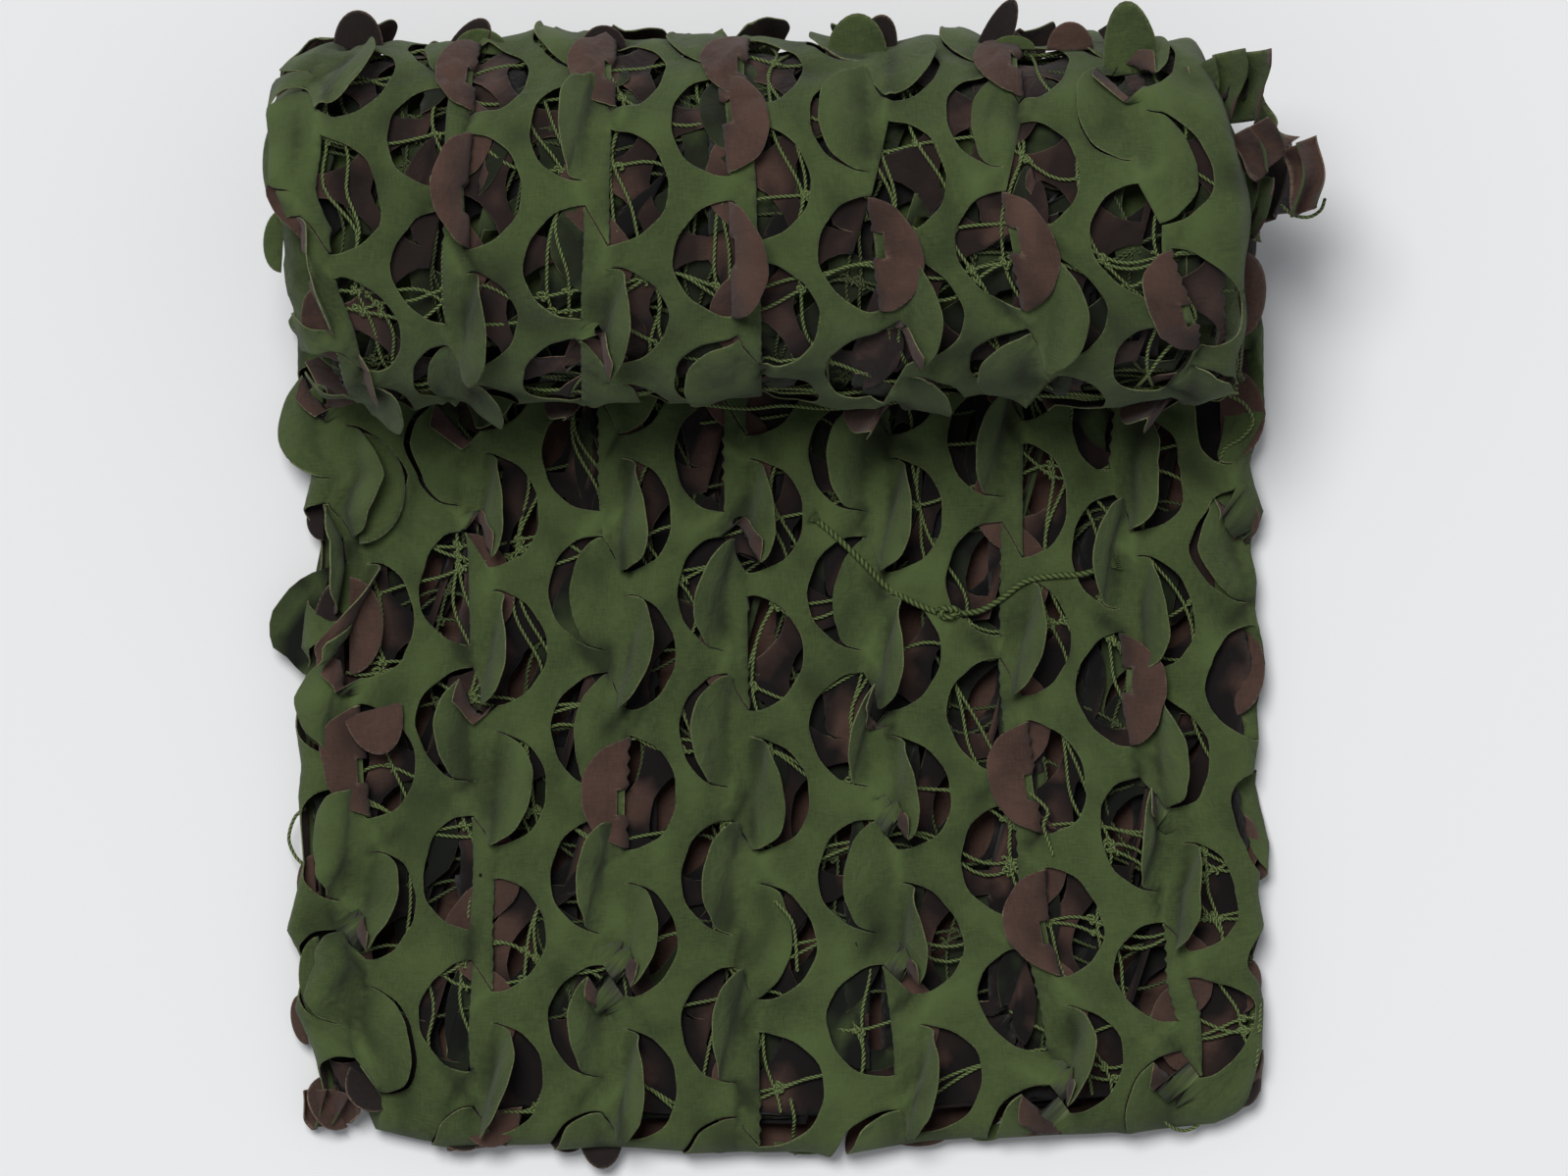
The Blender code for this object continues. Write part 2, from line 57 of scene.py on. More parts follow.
# The folded net in plan and in side view, as in the solids
CLOTH_DEPTH = 0.0006
LEFT_EDGE = -0.254
RIGHT_EDGE = 0.249
FRONT_EDGE = -0.288
BACK_OF_TONGUE_TOP = 0.165
SEAM_Y = 0.150
SEAM_GAP = 0.0004
TONGUE_HEIGHT = 0.0215
TONGUE_TOP_LENGTH = BACK_OF_TONGUE_TOP - FRONT_EDGE - TONGUE_HEIGHT / 2
ROLL_Y = 0.1885
ROLL_START_HALF_DEPTH = 0.1025
ROLL_START_HALF_HEIGHT = 0.0945
ROLL_PITCH = 0.0212
ROLL_TURNS = 3.75
ROLL_STEPS = 72
FOLD_TURNS = 2.9

# The leaf cut: in each column, half-round leaves alternate left and right of a centre line
LEAF_RADIUS = 0.0295
HINGE_SHIFT = 0.0058
COLUMN_PITCH = 0.0735
ROW_PITCH = 0.0715
RIGHT_LEAF_DROP = 0.031
ROW_SLOPE = -0.0025
FIRST_COLUMN_X = -0.242
COLUMNS = 7
TONGUE_FIRST_ROW = 0.0245
ROLL_FIRST_ROW = 0.1415

# How leaves fold: the angle of a folded one, how deep a sunken one lies, the bend of one that
# is folded under, how much of its rise a lifted one keeps, where its tip starts, how many of
# the tips are bent, and how far a leaf is twisted
FOLDED = 178
SUNK_DEPTH = 0.0008
UNDER_LOOP = 0.0042
LIFT_SHARE = 0.62
TIP_START = 0.011
BENT_TIPS = 0.3
LEAF_TWIST = 0.24

# The cuts: a slit and the frayed band beside it, the square at a leaf's neck, and how far the
# sides of the cloth wander
SLIT_HALF_WIDTH = 0.00035
FRAYED_BAND = 0.0011
NECK_LENGTH = 0.0125
NOTCH_DEPTH = 0.010
EDGE_WANDER = 0.010

# How far the painted shade beside a hinge reaches, how much the inner layers follow the outer
# cloth, and how what comes near the floor is eased to rest on it
HINGE_SHADE = 0.008
FOLLOWS_ABOVE = 0.9
LEAST_HEIGHT = 0.0008
EASING = 0.0012
EASED_FROM = 0.002
LEAST_SCRAP_HEIGHT = 0.0012

# Thicknesses of the cloth of the inner layers and of the loose scraps
LAYER_THICKNESS = 0.0006
SCRAP_THICKNESS = 0.0007

# How the free end's rows spread towards the front, and how far each column is out of step
SPREAD_START = 0.24
SPREAD = 0.07
COLUMN_STEPS = (-0.022, -0.005, 0.0, 0.003, 0.005, 0.0, -0.011, -0.012)

# How far each column is pulled to the right, in millimetres, at some distances along the cloth
TONGUE_DRIFT = (
    (0.09, (4, 6, 6, -3, -2, -5, -21, -22)),
    (0.20, (12, 12, 10, -2, -4, -6, -15, -16)),
    (0.31, (18, 13, 8, 2, 3, 4, 5, 5)),
    (0.42, (15, 11, 7, 3, 14, 20, 15, 14)),
)
ROLL_DRIFT = (
    (0.25, (-2, 4, 3, -3, -4, -10, -16, -16)),
    (0.32, (-8, 0, 1, 3, -1, -6, -12, -12)),
    (0.39, (0, -3, -1, 5, 6, 6, 8, 8)),
)

# The outline is drawn in from this far beside the middle, over this width
INSET_FROM = 0.13
INSET_WIDTH = 0.12

# How far the outline lies inside its straight lines, in pixels of the photograph, at its rows
# for the sides and at its columns for the front
LEFT_INSET = (
    (400, 7), (452, 8), (484, 22), (520, 13), (552, 27), (580, 26), (620, 15), (660, 11),
    (674, 20), (712, 5), (740, 5), (780, 11), (812, 8), (880, 13), (954, -4), (998, 14),
    (1061, 4), (1107, 24), (1150, 34),
)
RIGHT_INSET = (
    (400, 2), (424, 0), (471, 17), (493, 12), (522, 2), (558, 16), (590, 9), (623, 11),
    (676, -2), (721, 9), (753, 7), (800, 14), (860, 2), (910, 8), (960, 0), (1010, 10),
    (1060, 2), (1120, 4), (1160, 16),
)
FRONT_INSET = (
    (285, 44), (345, 30), (412, 14), (454, 4), (560, 5), (650, 2), (700, -2), (860, -2),
    (940, 8), (1000, 13), (1110, 16), (1190, 22), (1240, 27), (1285, 48), (1310, 60),
)
ROLL_LEFT_INSET = (
    (40, 40), (60, 34), (95, 14), (125, 8), (160, 14), (205, 12), (240, 26), (275, 22),
    (305, 26), (345, 38), (410, 52),
)
ROLL_RIGHT_INSET = (
    (40, 46), (80, 38), (110, 24), (150, 12), (200, 2), (255, 2), (300, 6), (345, 2),
    (410, 14),
)

# A leaf's state. Up to 100 it is lifted by so many degrees, and past that it is turned right over.
# A negative number is a leaf that has sunk, by so many percent of its reach. UNDER is one that is
# folded under, GONE one that is missing, and FLAT one that lies in its place.
OVER = 172
UNDER = -180
GONE = -181
FLAT = 0

# One line for each column from the left, with a pair for each row from the roll to the front:
# the state of its left leaf and of its right leaf
TONGUE_TURNS = (
    ((40, 50), (66, 62), (118, 96), (84, OVER), (70, 62), (62, 34), (GONE, None)),
    ((50, 40), (24, 76), (UNDER, 84), (54, 50), (UNDER, UNDER), (UNDER, 78), (18, None)),
    ((UNDER, 50), (UNDER, 72), (-30, 74), (-34, OVER), (70, 62), (60, 76), (34, None)),
    ((40, UNDER), (UNDER, 66), (66, UNDER), (56, 62), (64, -28), (74, UNDER), (16, None)),
    ((30, UNDER), (50, 73), (-36, 80), (84, 72), (-32, 74), (UNDER, 78), (22, None)),
    ((50, UNDER), (72, UNDER), (UNDER, 75), (UNDER, OVER), (UNDER, OVER), (UNDER, 74), (16, None)),
    ((30, 58), (UNDER, 64), (74, 68), (150, 60), (84, 80), (UNDER, UNDER), (26, None)),
    ((FLAT, None), (-45, None), (50, None), (-50, None), (40, None), (-45, None)),
)

# The same for the roll, from low on its back, over the top and down its front
ROLL_LEAF_TURNS = (
    ((24, 40), (16, 64), (30, UNDER), (128, UNDER), (UNDER, 50), (24, UNDER), (40, FLAT)),
    ((36, UNDER), (-20, OVER), (UNDER, 128), (UNDER, 70), (-30, 46), (UNDER, 40), (FLAT, GONE)),
    ((30, 20), (14, OVER), (66, UNDER), (UNDER, 72), (UNDER, -30), (50, GONE), (30, 44)),
    ((GONE, 44), (14, OVER), (OVER, UNDER), (118, UNDER), (20, UNDER), (UNDER, 62), (GONE, 30)),
    ((40, UNDER), (20, 34), (36, GONE), (OVER, 56), (GONE, 40), (54, 30), (UNDER, 50)),
    ((28, 50), (16, OVER), (-40, GONE), (OVER, 50), (30, GONE), (GONE, 46), (44, FLAT)),
    ((FLAT, GONE), (22, 26), (24, -20), (GONE, OVER), (GONE, 30), (40, GONE), (30, 20)),
)

# What the leaves of the layers inside are drawn from
LAYER_STATES = (GONE, GONE, GONE, GONE, UNDER, OVER, 128, 84, 70, -45)
LAYER_ROWS = 6

# How the layers stick out of the roll's right end: where along the cloth, how long, how far
SLIPPED_AT = 0.80
SLIPPED_LENGTH = 0.08
SLIPPED_OUT = 0.010

# Creases of the free end's cloth in plan: x and y of both ends, half width and height; a trough
# has a negative height
TONGUE_CREASES = (
    (0.084, -0.010, 0.032, 0.036, 0.0036, -0.002),
    (0.086, -0.012, 0.150, 0.012, 0.004, -0.0018),
    (0.085, -0.004, 0.058, -0.052, 0.005, 0.0022),
    (0.088, -0.006, 0.112, -0.060, 0.0044, -0.0022),
    (0.082, -0.006, 0.098, 0.046, 0.0046, 0.002),
    (0.078, -0.010, 0.020, -0.014, 0.0042, 0.0016),
    (-0.140, 0.120, -0.118, -0.020, 0.008, 0.0022),
    (-0.130, -0.030, -0.098, -0.130, 0.007, -0.002),
    (-0.060, 0.110, -0.070, 0.010, 0.009, 0.0024),
    (-0.052, 0.000, -0.030, -0.090, 0.0065, -0.0018),
    (-0.010, -0.060, 0.010, -0.150, 0.006, 0.0018),
    (0.020, 0.120, 0.028, 0.060, 0.0075, -0.002), (0.150, 0.125, 0.162, 0.040, 0.008, 0.0024),
    (0.170, 0.020, 0.150, -0.070, 0.007, -0.0018), (0.205, 0.060, 0.215, -0.060, 0.008, 0.002),
    (-0.170, -0.140, -0.130, -0.230, 0.008, 0.0022),
    (-0.070, -0.160, -0.050, -0.240, 0.007, -0.002),
    (0.030, -0.170, 0.060, -0.250, 0.008, 0.002),
    (0.120, -0.130, 0.150, -0.230, 0.008, 0.0022),
    (0.200, -0.140, 0.190, -0.240, 0.007, -0.0018),
    (-0.215, 0.080, -0.190, 0.000, 0.007, -0.002),
    (-0.210, -0.060, -0.200, -0.170, 0.008, 0.002),
)

# Loose leaves at the outline: the hinge's pixel in the photograph and its height, the leaf's
# heading, lift and curl in degrees, its size, its width for its length, and its twist
# Leaves that stand in shade are painted nearly black: painted shade
PAINTED_SHADE_LEAVES = (
    (371, 58, 0.108, 92, 8, 30, 0.0215, 0.6, 0.3),
    (478, 62, 0.110, 58, 12, 10, 0.021, 0.46, 0.3),
    (618, 60, 0.112, 94, 4, 10, 0.0135, 0.9, 0), (893, 60, 0.116, 80, 20, 10, 0.020, 0.5, 0.1),
    (1008, 58, 0.116, 66, 40, -10, 0.031, 0.26, 0.5),
    (1118, 46, 0.122, 34, 20, -10, 0.023, 0.16, 0.4),
    (330, 530, 0.016, 180, 0, -20, 0.009, 1.2, 0.1),
    (352, 642, 0.024, 180, 8, -20, 0.016, 1.7, 0.1),
    (612, 1152, 0.010, -86, 6, 10, 0.0205, 0.58, 0.1),
    (578, 1160, 0.010, -96, 6, 10, 0.008, 1.2, 0.1),
    (384, 1100, 0.020, -120, 6, 40, 0.019, 0.8, 0.3),
    (470, 1156, 0.012, -100, 6, 40, 0.010, 1.2, 0.3),
    (1262, 1092, 0.014, 10, 10, -60, 0.013, 1.5, 0.1),
    (1262, 250, 0.100, 0, -40, -20, 0.010, 1.6, 0.2),
)
BROWN_LEAVES = (
    (1087, 60, 0.126, 92, 30, -20, 0.015, 0.8, 0.1),
    (1256, 304, 0.110, -6, -14, -30, 0.0165, 1.35, 0.2),
    (1243, 422, 0.022, 2, 8, -10, 0.0235, 1.1, 0.1),
    (1243, 528, 0.018, -4, 4, -10, 0.021, 0.78, -0.2),
    (1252, 680, 0.018, 2, 6, -10, 0.019, 1.36, 0.2),
    (356, 638, 0.028, 0, 14, -20, 0.0175, 1.45, 0.1),
    (380, 722, 0.030, -76, 12, -10, 0.024, 0.64, 0.1),
    (340, 1124, 0.012, 210, 10, 50, 0.015, 1, 0.3),
    (934, 1150, 0.012, -92, -6, -10, 0.010, 1.9, 0),
    (1054, 1136, 0.018, -84, 6, -20, 0.011, 1.6, 0.1),
    (500, 1140, 0.020, -70, 16, -30, 0.015, 1, 0.2),
    (736, 1160, 0.014, -80, 6, -20, 0.008, 1.4, 0.1),
    (1262, 1004, 0.016, -8, 12, -50, 0.013, 1.2, 0.3),
    (1262, 860, 0.016, 4, 8, -40, 0.012, 1.3, 0.3),
    (322, 905, 0.014, 184, 0, -20, 0.010, 1.7, -0.2),
    (310, 1040, 0.012, 190, 0, -20, 0.007, 1.9, 0.2),
)
GREEN_LEAVES = (
    (494, 62, 0.112, 84, 12, 10, 0.013, 1.1, 0.1),
    (872, 72, 0.124, 88, 30, -12, 0.026, 0.62, 0.2),
    (1030, 58, 0.120, 88, 20, -20, 0.007, 1.6, 0),
    (1150, 86, 0.138, 97, 30, -16, 0.039, 0.38, 0.6),
    (330, 432, 0.020, 180, 0, -20, 0.0125, 1.7, 0.1),
    (364, 498, 0.030, 2, 12, -30, 0.025, 1.16, 0.1),
    (338, 724, 0.020, 182, 0, -30, 0.017, 1.2, 0.1),
    (330, 1000, 0.018, 186, 4, -30, 0.013, 1.8, 0.1),
    (1230, 496, 0.022, 4, 4, -30, 0.021, 0.64, 0.1),
    (1238, 590, 0.020, 0, 4, -30, 0.019, 0.9, 0.1),
    (1250, 762, 0.016, -4, 8, -36, 0.015, 1.3, -0.1),
    (1264, 926, 0.016, 6, 0, -20, 0.011, 1.7, 0.1),
    (1266, 1050, 0.014, -10, 6, -20, 0.011, 1.5, 0.1),
    (820, 1166, 0.010, -92, 0, -16, 0.006, 2.6, 0),
    (1008, 1148, 0.012, -80, 0, -16, 0.008, 1.6, 0),
    (300, 170, 0.120, 178, -20, -30, 0.015, 1.6, 0.1),
    (296, 250, 0.110, 176, -10, -20, 0.011, 1.5, 0.1),
)

# Crumpled ends of cloth: four corners, each a pixel and a height, then the number of folds, their
# depth, where they start, and the colour
CRUMPLES = (
    ((1206, 74, 0.140), (1284, 56, 0.148), (1284, 140, 0.120), (1216, 128, 0.132),
     3.2, 0.0065, 0.6, "green"),
    # nearly black: painted shade
    ((1222, 92, 0.128), (1262, 74, 0.126), (1272, 100, 0.120), (1226, 112, 0.136),
     2.2, 0.006, 2, "dark"),
    ((1246, 150, 0.146), (1282, 131, 0.150), (1318, 148, 0.142), (1272, 190, 0.136),
     2.1, 0.0052, 1.2, "brown"),
    ((1302, 156, 0.128), (1330, 148, 0.130), (1345, 214, 0.112), (1308, 222, 0.116),
     1.4, 0.006, 4, "brown"),
    # nearly black: painted shade
    ((1240, 150, 0.112), (1318, 150, 0.108), (1322, 222, 0.100), (1244, 240, 0.104),
     3.2, 0.006, 2.6, "dark"),
    ((1252, 182, 0.122), (1290, 186, 0.120), (1284, 252, 0.102), (1254, 244, 0.104),
     2.2, 0.0045, 0.2, "green"),
    ((308, 1112, 0.014), (372, 1118, 0.020), (362, 1146, 0.012), (318, 1154, 0.010),
     2.6, 0.004, 1, "brown"),
    ((446, 1140, 0.014), (530, 1130, 0.022), (524, 1170, 0.012), (452, 1176, 0.010),
     2.4, 0.004, 3, "brown"),
    ((1248, 1078, 0.016), (1290, 1070, 0.014), (1286, 1116, 0.010), (1252, 1120, 0.012),
     2, 0.0035, 3, "brown"),
)

# Cords that hang free at the edges and lie over the holes: pixels with heights
STRAY_CORDS = {
    "stray_cord_left": (
        (311, 824, 0.018), (300, 834, 0.016), (294, 855, 0.014), (300, 872, 0.014),
        (309, 882, 0.016),
    ),
    "stray_cord_bundle": (
        (1300, 215, 0.116), (1312, 224, 0.110), (1328, 226, 0.108), (1340, 219, 0.108),
        (1344, 208, 0.112),
    ),
    "stray_cord_right": (
        (1250, 402, 0.030), (1268, 412, 0.030), (1277, 430, 0.030), (1266, 446, 0.029),
        (1248, 458, 0.027), (1243, 476, 0.026),
    ),
    "stray_cord_front": (
        (1180, 1136, 0.022), (1196, 1150, 0.016), (1212, 1153, 0.012), (1228, 1142, 0.014),
        (1240, 1120, 0.022),
    ),
    "stray_cord_belly": (
        (688, 404, 0.088), (706, 412, 0.080), (760, 418, 0.070), (800, 415, 0.074),
        (850, 418, 0.068), (910, 412, 0.078), (966, 402, 0.088),
    ),
    "stray_cord_tassel": (
        (806, 1120, 0.024), (810, 1140, 0.022), (809, 1158, 0.014), (811, 1178, 0.008),
    ),
    "stray_tie_low": (
        (790, 918, 0.025), (806, 936, 0.029), (811, 955, 0.027), (813, 990, 0.026),
    ),
    "stray_tie_right": (
        (1048, 806, 0.025), (1068, 826, 0.029), (1064, 842, 0.028), (1074, 872, 0.026),
    ),
}

# The net's strands: the distance between their points, and how near two of them are knotted
NET_STEP = 0.006
KNOT_REACH = 0.0045
KNOT_TURNS = 1.3

# The tie on the free end: plan points, starting from its knot, as in the solids
TIE_CORD = 0.0031
TIE_TURNS = 2.4
TIE_KNOT = (0.0865, -0.0080)
TIE_LEFT = (
    (0.0808, -0.0076), (0.0750, -0.0056), (0.0670, -0.0020), (0.0540, 0.0060),
    (0.0425, 0.0180), (0.0310, 0.0290), (0.0190, 0.0395),
)
TIE_RIGHT = (
    (0.0922, -0.0084), (0.1030, -0.0070), (0.1140, -0.0010), (0.1265, 0.0080),
    (0.1410, 0.0110), (0.1560, 0.0120), (0.1700, 0.0165),
)

# The materials of a sheet's face, back and cut edge
OUTER_MATERIALS = ("green_face", "brown_back", "cut_edge_green")
# The inner layers take darker copies of the cloth, the innermost near black: painted shade
LAYER_MATERIALS = {
    "brown": ("deep_brown_cloth", "deep_green_cloth", "cut_edge_brown"),
    "green": ("deep_green_cloth", "deep_brown_cloth", "cut_edge_green"),
    # near black for the innermost layer: painted shade
    "dark": ("dark_cloth", "dark_cloth", "dark_cloth"),
}
SCRAP_MATERIALS = {
    "green": OUTER_MATERIALS,
    "brown": ("brown_back", "green_face", "cut_edge_brown"),
    # scraps in painted shade are nearly black
    "dark": ("shaded_cloth", "shaded_cloth", "cut_edge_brown"),
}

# The weave's threads and the broad patches in a metre, the range of the threads' tone, how
# strongly the frays show, and the turns of the net's cord in a metre
THREADS = 1100.0
PATCHES = 22.0
TONE_RANGE = (0.38, 0.62)
FRAY_STRENGTH = 0.8
NET_LAY = 190.0

# The photograph's view: its size in pixels, and the real width that it takes in
PHOTO_WIDTH = 1599
PHOTO_HEIGHT = 1199
METRES_PER_PIXEL = 0.00051
CENTRE_PIXEL = (797, 609)
CAMERA_HEIGHT = 7.0


def distances(points):
    """How far along the line each of its points is."""
    steps = np.linalg.norm(np.diff(points, axis=0), axis=1)
    return np.concatenate([[0.0], np.cumsum(steps)])


def smooth(t):
    """0 below 0, 1 above 1 and a soft step between them."""
    t = np.clip(t, 0.0, 1.0)
    return t * t * (3 - 2 * t)


# ---------------------------------------------------------------- the shape of the folded net


class Path:
    """A line in the side view. Its outward side is on the left of somebody walking towards +Y."""

    def __init__(self, points):
        self.yz = np.array(points)
        self.along = distances(self.yz)
        self.tangent = np.gradient(self.yz, self.along, axis=0)
        self.length = float(self.along[-1])

    def at(self, s, height):
        """y and z at distances s, so far outside the line."""
        y, z = (np.interp(s, self.along, self.yz[:, k]) for k in (0, 1))
        ty, tz = (np.interp(s, self.along, self.tangent[:, k]) for k in (0, 1))
        size = np.hypot(ty, tz)
        return y + height * tz / size, z - height * ty / size


def tongue_path():
    """Forward along the top of the free end, round its front and back along the floor."""
    radius = TONGUE_HEIGHT / 2
    points = [(BACK_OF_TONGUE_TOP - 0.01 * i, TONGUE_HEIGHT) for i in range(44)]
    turn = [math.radians(90 + 10 * i) for i in range(19)]
    centre = FRONT_EDGE + radius
    points += [(centre + radius * math.cos(a), radius + radius * math.sin(a)) for a in turn]
    floor_length = SEAM_Y - SEAM_GAP - centre
    points += [(centre + floor_length * (i + 1) / 40, 0.0) for i in range(40)]
    return Path(points)


def roll_angle_point(turn):
    """A point of the roll's outer face, so many turns from where it leaves the floor."""
    angle = math.radians(360 * turn - 90)
    half_depth = ROLL_START_HALF_DEPTH - ROLL_PITCH * turn
    half_height = ROLL_START_HALF_HEIGHT - ROLL_PITCH * turn
    y = ROLL_Y + half_depth * math.cos(angle)
    return y, ROLL_START_HALF_HEIGHT + half_height * math.sin(angle)


def roll_path(turns=ROLL_TURNS):
    """Back along the floor from the seam, then round and round inwards."""
    straight = [(SEAM_Y + (ROLL_Y - SEAM_Y) * i / 8, 0.0) for i in range(8)]
    steps = round(turns * ROLL_STEPS)
    return Path(straight + [roll_angle_point(i / ROLL_STEPS) for i in range(steps + 1)])


class Section:
    """The line across the cloth: flat, and turned down by some degrees round each side edge."""

    STEP = 0.0005

    def __init__(self, left, right, radius, left_turn, right_turn):
        self.u = np.arange(left - 0.08, right + 0.08, self.STEP)
        past_left = np.maximum(left + radius - self.u, 0.0) / radius
        past_right = np.maximum(self.u - (right - radius), 0.0) / radius
        limit_left, limit_right = math.radians(left_turn), math.radians(right_turn)
        self.slope = np.minimum(past_left, limit_left) - np.minimum(past_right, limit_right)
        middle = int(np.argmin(np.abs(self.u - (left + right) / 2)))
        x = np.cumsum(np.cos(self.slope)) * self.STEP
        drop = np.cumsum(np.sin(self.slope)) * self.STEP
        self.x = x - x[middle] + self.u[middle]
        self.height = drop - drop[middle]

    def at(self, u):
        """x and height at flat places u."""
        return np.interp(u, self.u, self.x), np.interp(u, self.u, self.height)

    def slope_at(self, u):
        """The line's slope at flat places u."""
        return np.interp(u, self.u, self.slope)


def leaf_line(section, hinge, way, turn, loop):
    """Reach and rise of a leaf at even steps from its hinge outwards, and those steps."""
    d = np.linspace(0.0, (LEAF_RADIUS + 3 * HINGE_SHIFT) * 1.04, 100)
    slope = way * section.slope_at(hinge + way * d)
    if UNDER < turn < 0:
        sunk = smooth(d / LEAF_RADIUS)
        return d, d * (1 + turn / 100 * sunk), -SUNK_DEPTH * sunk * min(1.0, -turn / 20)
    if turn == UNDER:
        bend = -math.radians(FOLDED) * smooth(d / UNDER_LOOP)
    elif turn > 100:
        loose = smooth((d - loop) / LEAF_RADIUS)
        bend = math.radians(turn) * smooth(d / loop) + math.radians(186 - turn) * loose
    else:
        share = d / LEAF_RADIUS
        bent = 1.18 * smooth((share + 0.04) / 0.62) - 0.34 * smooth((share - 0.5) / 0.5)
        bend = math.radians(0.92 * turn) * bent
    reach = np.cumsum(np.cos(slope + bend)) * (d[1] - d[0])
    rise = np.cumsum(np.sin(slope + bend)) * (d[1] - d[0])
    return d, reach - reach[0], (rise - rise[0]) * (LIFT_SHARE if 0 < turn < 100 else 1.0)


def slants(turn):
    """Whether a leaf in this state hangs on a slanting hinge; one turned over or under doesn't."""
    return UNDER < turn < 100


def hinge_line(a):
    """How far outside the half circle's straight side the slanting hinge is, so far along it."""
    return -2 * HINGE_SHIFT * (a + LEAF_RADIUS) / (LEAF_RADIUS + TIP_START)


def free_line(a):
    """The same for the leaf's free side, past its tip end."""
    return 2 * HINGE_SHIFT * (a - LEAF_RADIUS) / (LEAF_RADIUS - TIP_START)


def cut_radius(angle, centre_v):
    """A leaf's radius in this direction: the cut wobbles a little."""
    wobble = 0.013 * np.sin(5 * angle + 40 * centre_v) + 0.008 * np.sin(11 * angle + 90 * centre_v)
    return LEAF_RADIUS * (1 + wobble)


class Cloth:
    """A sheet of leaf-cut cloth: its path, its line across, and the state of its leaves."""

    soft_start = soft_end = 0.0  # the stretch along the cloth that is wavy
    puff, swell, rumple = 0.0, 0.0024, 0.0048  # its raise, and the size of its waves
    creases, creased = (), 0.88  # long creases, and the share of the necks with short ones
    banded = True  # whether the band along the cuts has points of its own
    drifts = ()  # how far the columns are pulled to the right
    steps, spreads = (0.0,) * 8, False  # how the rows are out of step and spread
    shift = 0.0  # how far the columns lie to the right of the outer cloth's
    drop_end = None  # where the turned-down sides have come up to the edge
    taper = 0.0  # how far the sides come in at both ends
    insets, slips = None, None  # the uneven outline, and what sticks out of the roll
    above, ceiling, shade = None, None, 1.0  # the cloth above it, its room, its painted shade

    def __init__(self, path, section, depth, leaves, first_row, seed, **details):
        self.path = path
        self.section = section
        self.depth = depth
        self.leaves = leaves
        self.first_row = first_row
        self.seed = seed
        for name, value in details.items():
            setattr(self, name, value)

    def column_x(self, column, side):
        """The straight side of a column's half circles; side is 0 for left and 1 for right."""
        return FIRST_COLUMN_X + COLUMN_PITCH * column + self.shift + (2 * side - 1) * HINGE_SHIFT

    def leaf_centre(self, column, row, side):
        """Distance along the cloth of a leaf's centre."""
        v = self.first_row + ROW_PITCH * row + ROW_SLOPE * column + RIGHT_LEAF_DROP * side
        spread = SPREAD * max(v - SPREAD_START, 0.0) if self.spreads else 0.0
        return v + spread + self.steps[column]

    def state(self, column, row, side):
        """A leaf's state, or None past the ends of its column."""
        rows = self.leaves[column]
        return rows[row][side] if 0 <= row < len(rows) else None

    def leaf_places(self):
        """Way, straight side, centre along and state of each leaf; the way is -1 for the left."""
        for column, rows in enumerate(self.leaves):
            for row, pair in enumerate(rows):
                for side, turn in enumerate(pair):
                    if turn is not None:
                        centre = self.leaf_centre(column, row, side)
                        yield 2 * side - 1, self.column_x(column, side), centre, turn

    def drift(self, u, v):
        """How far the cloth is pulled to the right at these flat places."""
        u, v = np.asarray(u, float), np.asarray(v, float)
        if not self.drifts:
            return 0.0 * v
        columns = [FIRST_COLUMN_X + COLUMN_PITCH * i for i in range(8)]
        lines = [np.interp(u, columns, line) / 1000 for _, line in self.drifts]
        places = [place for place, _ in self.drifts]
        moved = lines[0] + 0.0 * v
        for i in range(1, len(places)):
            share = smooth((v - places[i - 1]) / (places[i] - places[i - 1]))
            moved = moved + (lines[i] - lines[i - 1]) * share
        return moved

    def relief(self, u, v):
        """How far the cloth bulges, creases and wanders over these flat places."""
        soft = smooth((v - self.soft_start) / 0.05) * smooth((self.soft_end - v) / 0.04)
        across = np.sin(2 * np.pi * u / 0.17 + 9 * v + self.seed)
        along = np.sin(2 * np.pi * v / 0.11 + 14 * u + 2 * self.seed)
        bulge = self.swell * (0.5 + 0.25 * across + 0.25 * along) + self.puff
        y = BACK_OF_TONGUE_TOP - v
        for x0, y0, x1, y1, width, height in self.creases:
            dx, dy = x1 - x0, y1 - y0
            share = ((u - x0) * dx + (y - y0) * dy) / (dx * dx + dy * dy)
            share = np.clip(share, 0.0, 1.0)
            bend = 0.006 * np.sin(3 * share + x0 * 40)
            off = np.hypot(u - x0 - share * dx - bend * dy / 0.1, y - y0 - share * dy)
            ends = smooth(share / 0.25) * smooth((1 - share) / 0.25)
            bulge = bulge + height * np.exp(-((off / width) ** 2)) * (0.35 + 0.65 * ends)
        low, fine = self.rumples(u, v)
        bulge = bulge + self.neck_folds(u, v) + self.rumple * low + self.rumple * 0.55 * fine
        if self.above:
            outer = self.above.relief(u - self.above.drift(u, v), v)
            return bulge * soft + FOLLOWS_ABOVE * outer
        return bulge * soft

    def uneven(self, u, v, per_u, per_v, start):
        """Smooth noise at these flat places, with so many bumps in a metre."""
        start += self.seed
        return np.array([noise.noise(Vector((a * per_u, b * per_v, start))) for a, b in zip(u, v)])

    def rumples(self, u, v):
        """Uneven waves of the cloth, broad ones and small ones, from -1 to 1."""
        return self.uneven(u, v, 17, 17, 0), self.uneven(u, v, 52, 44, 5)

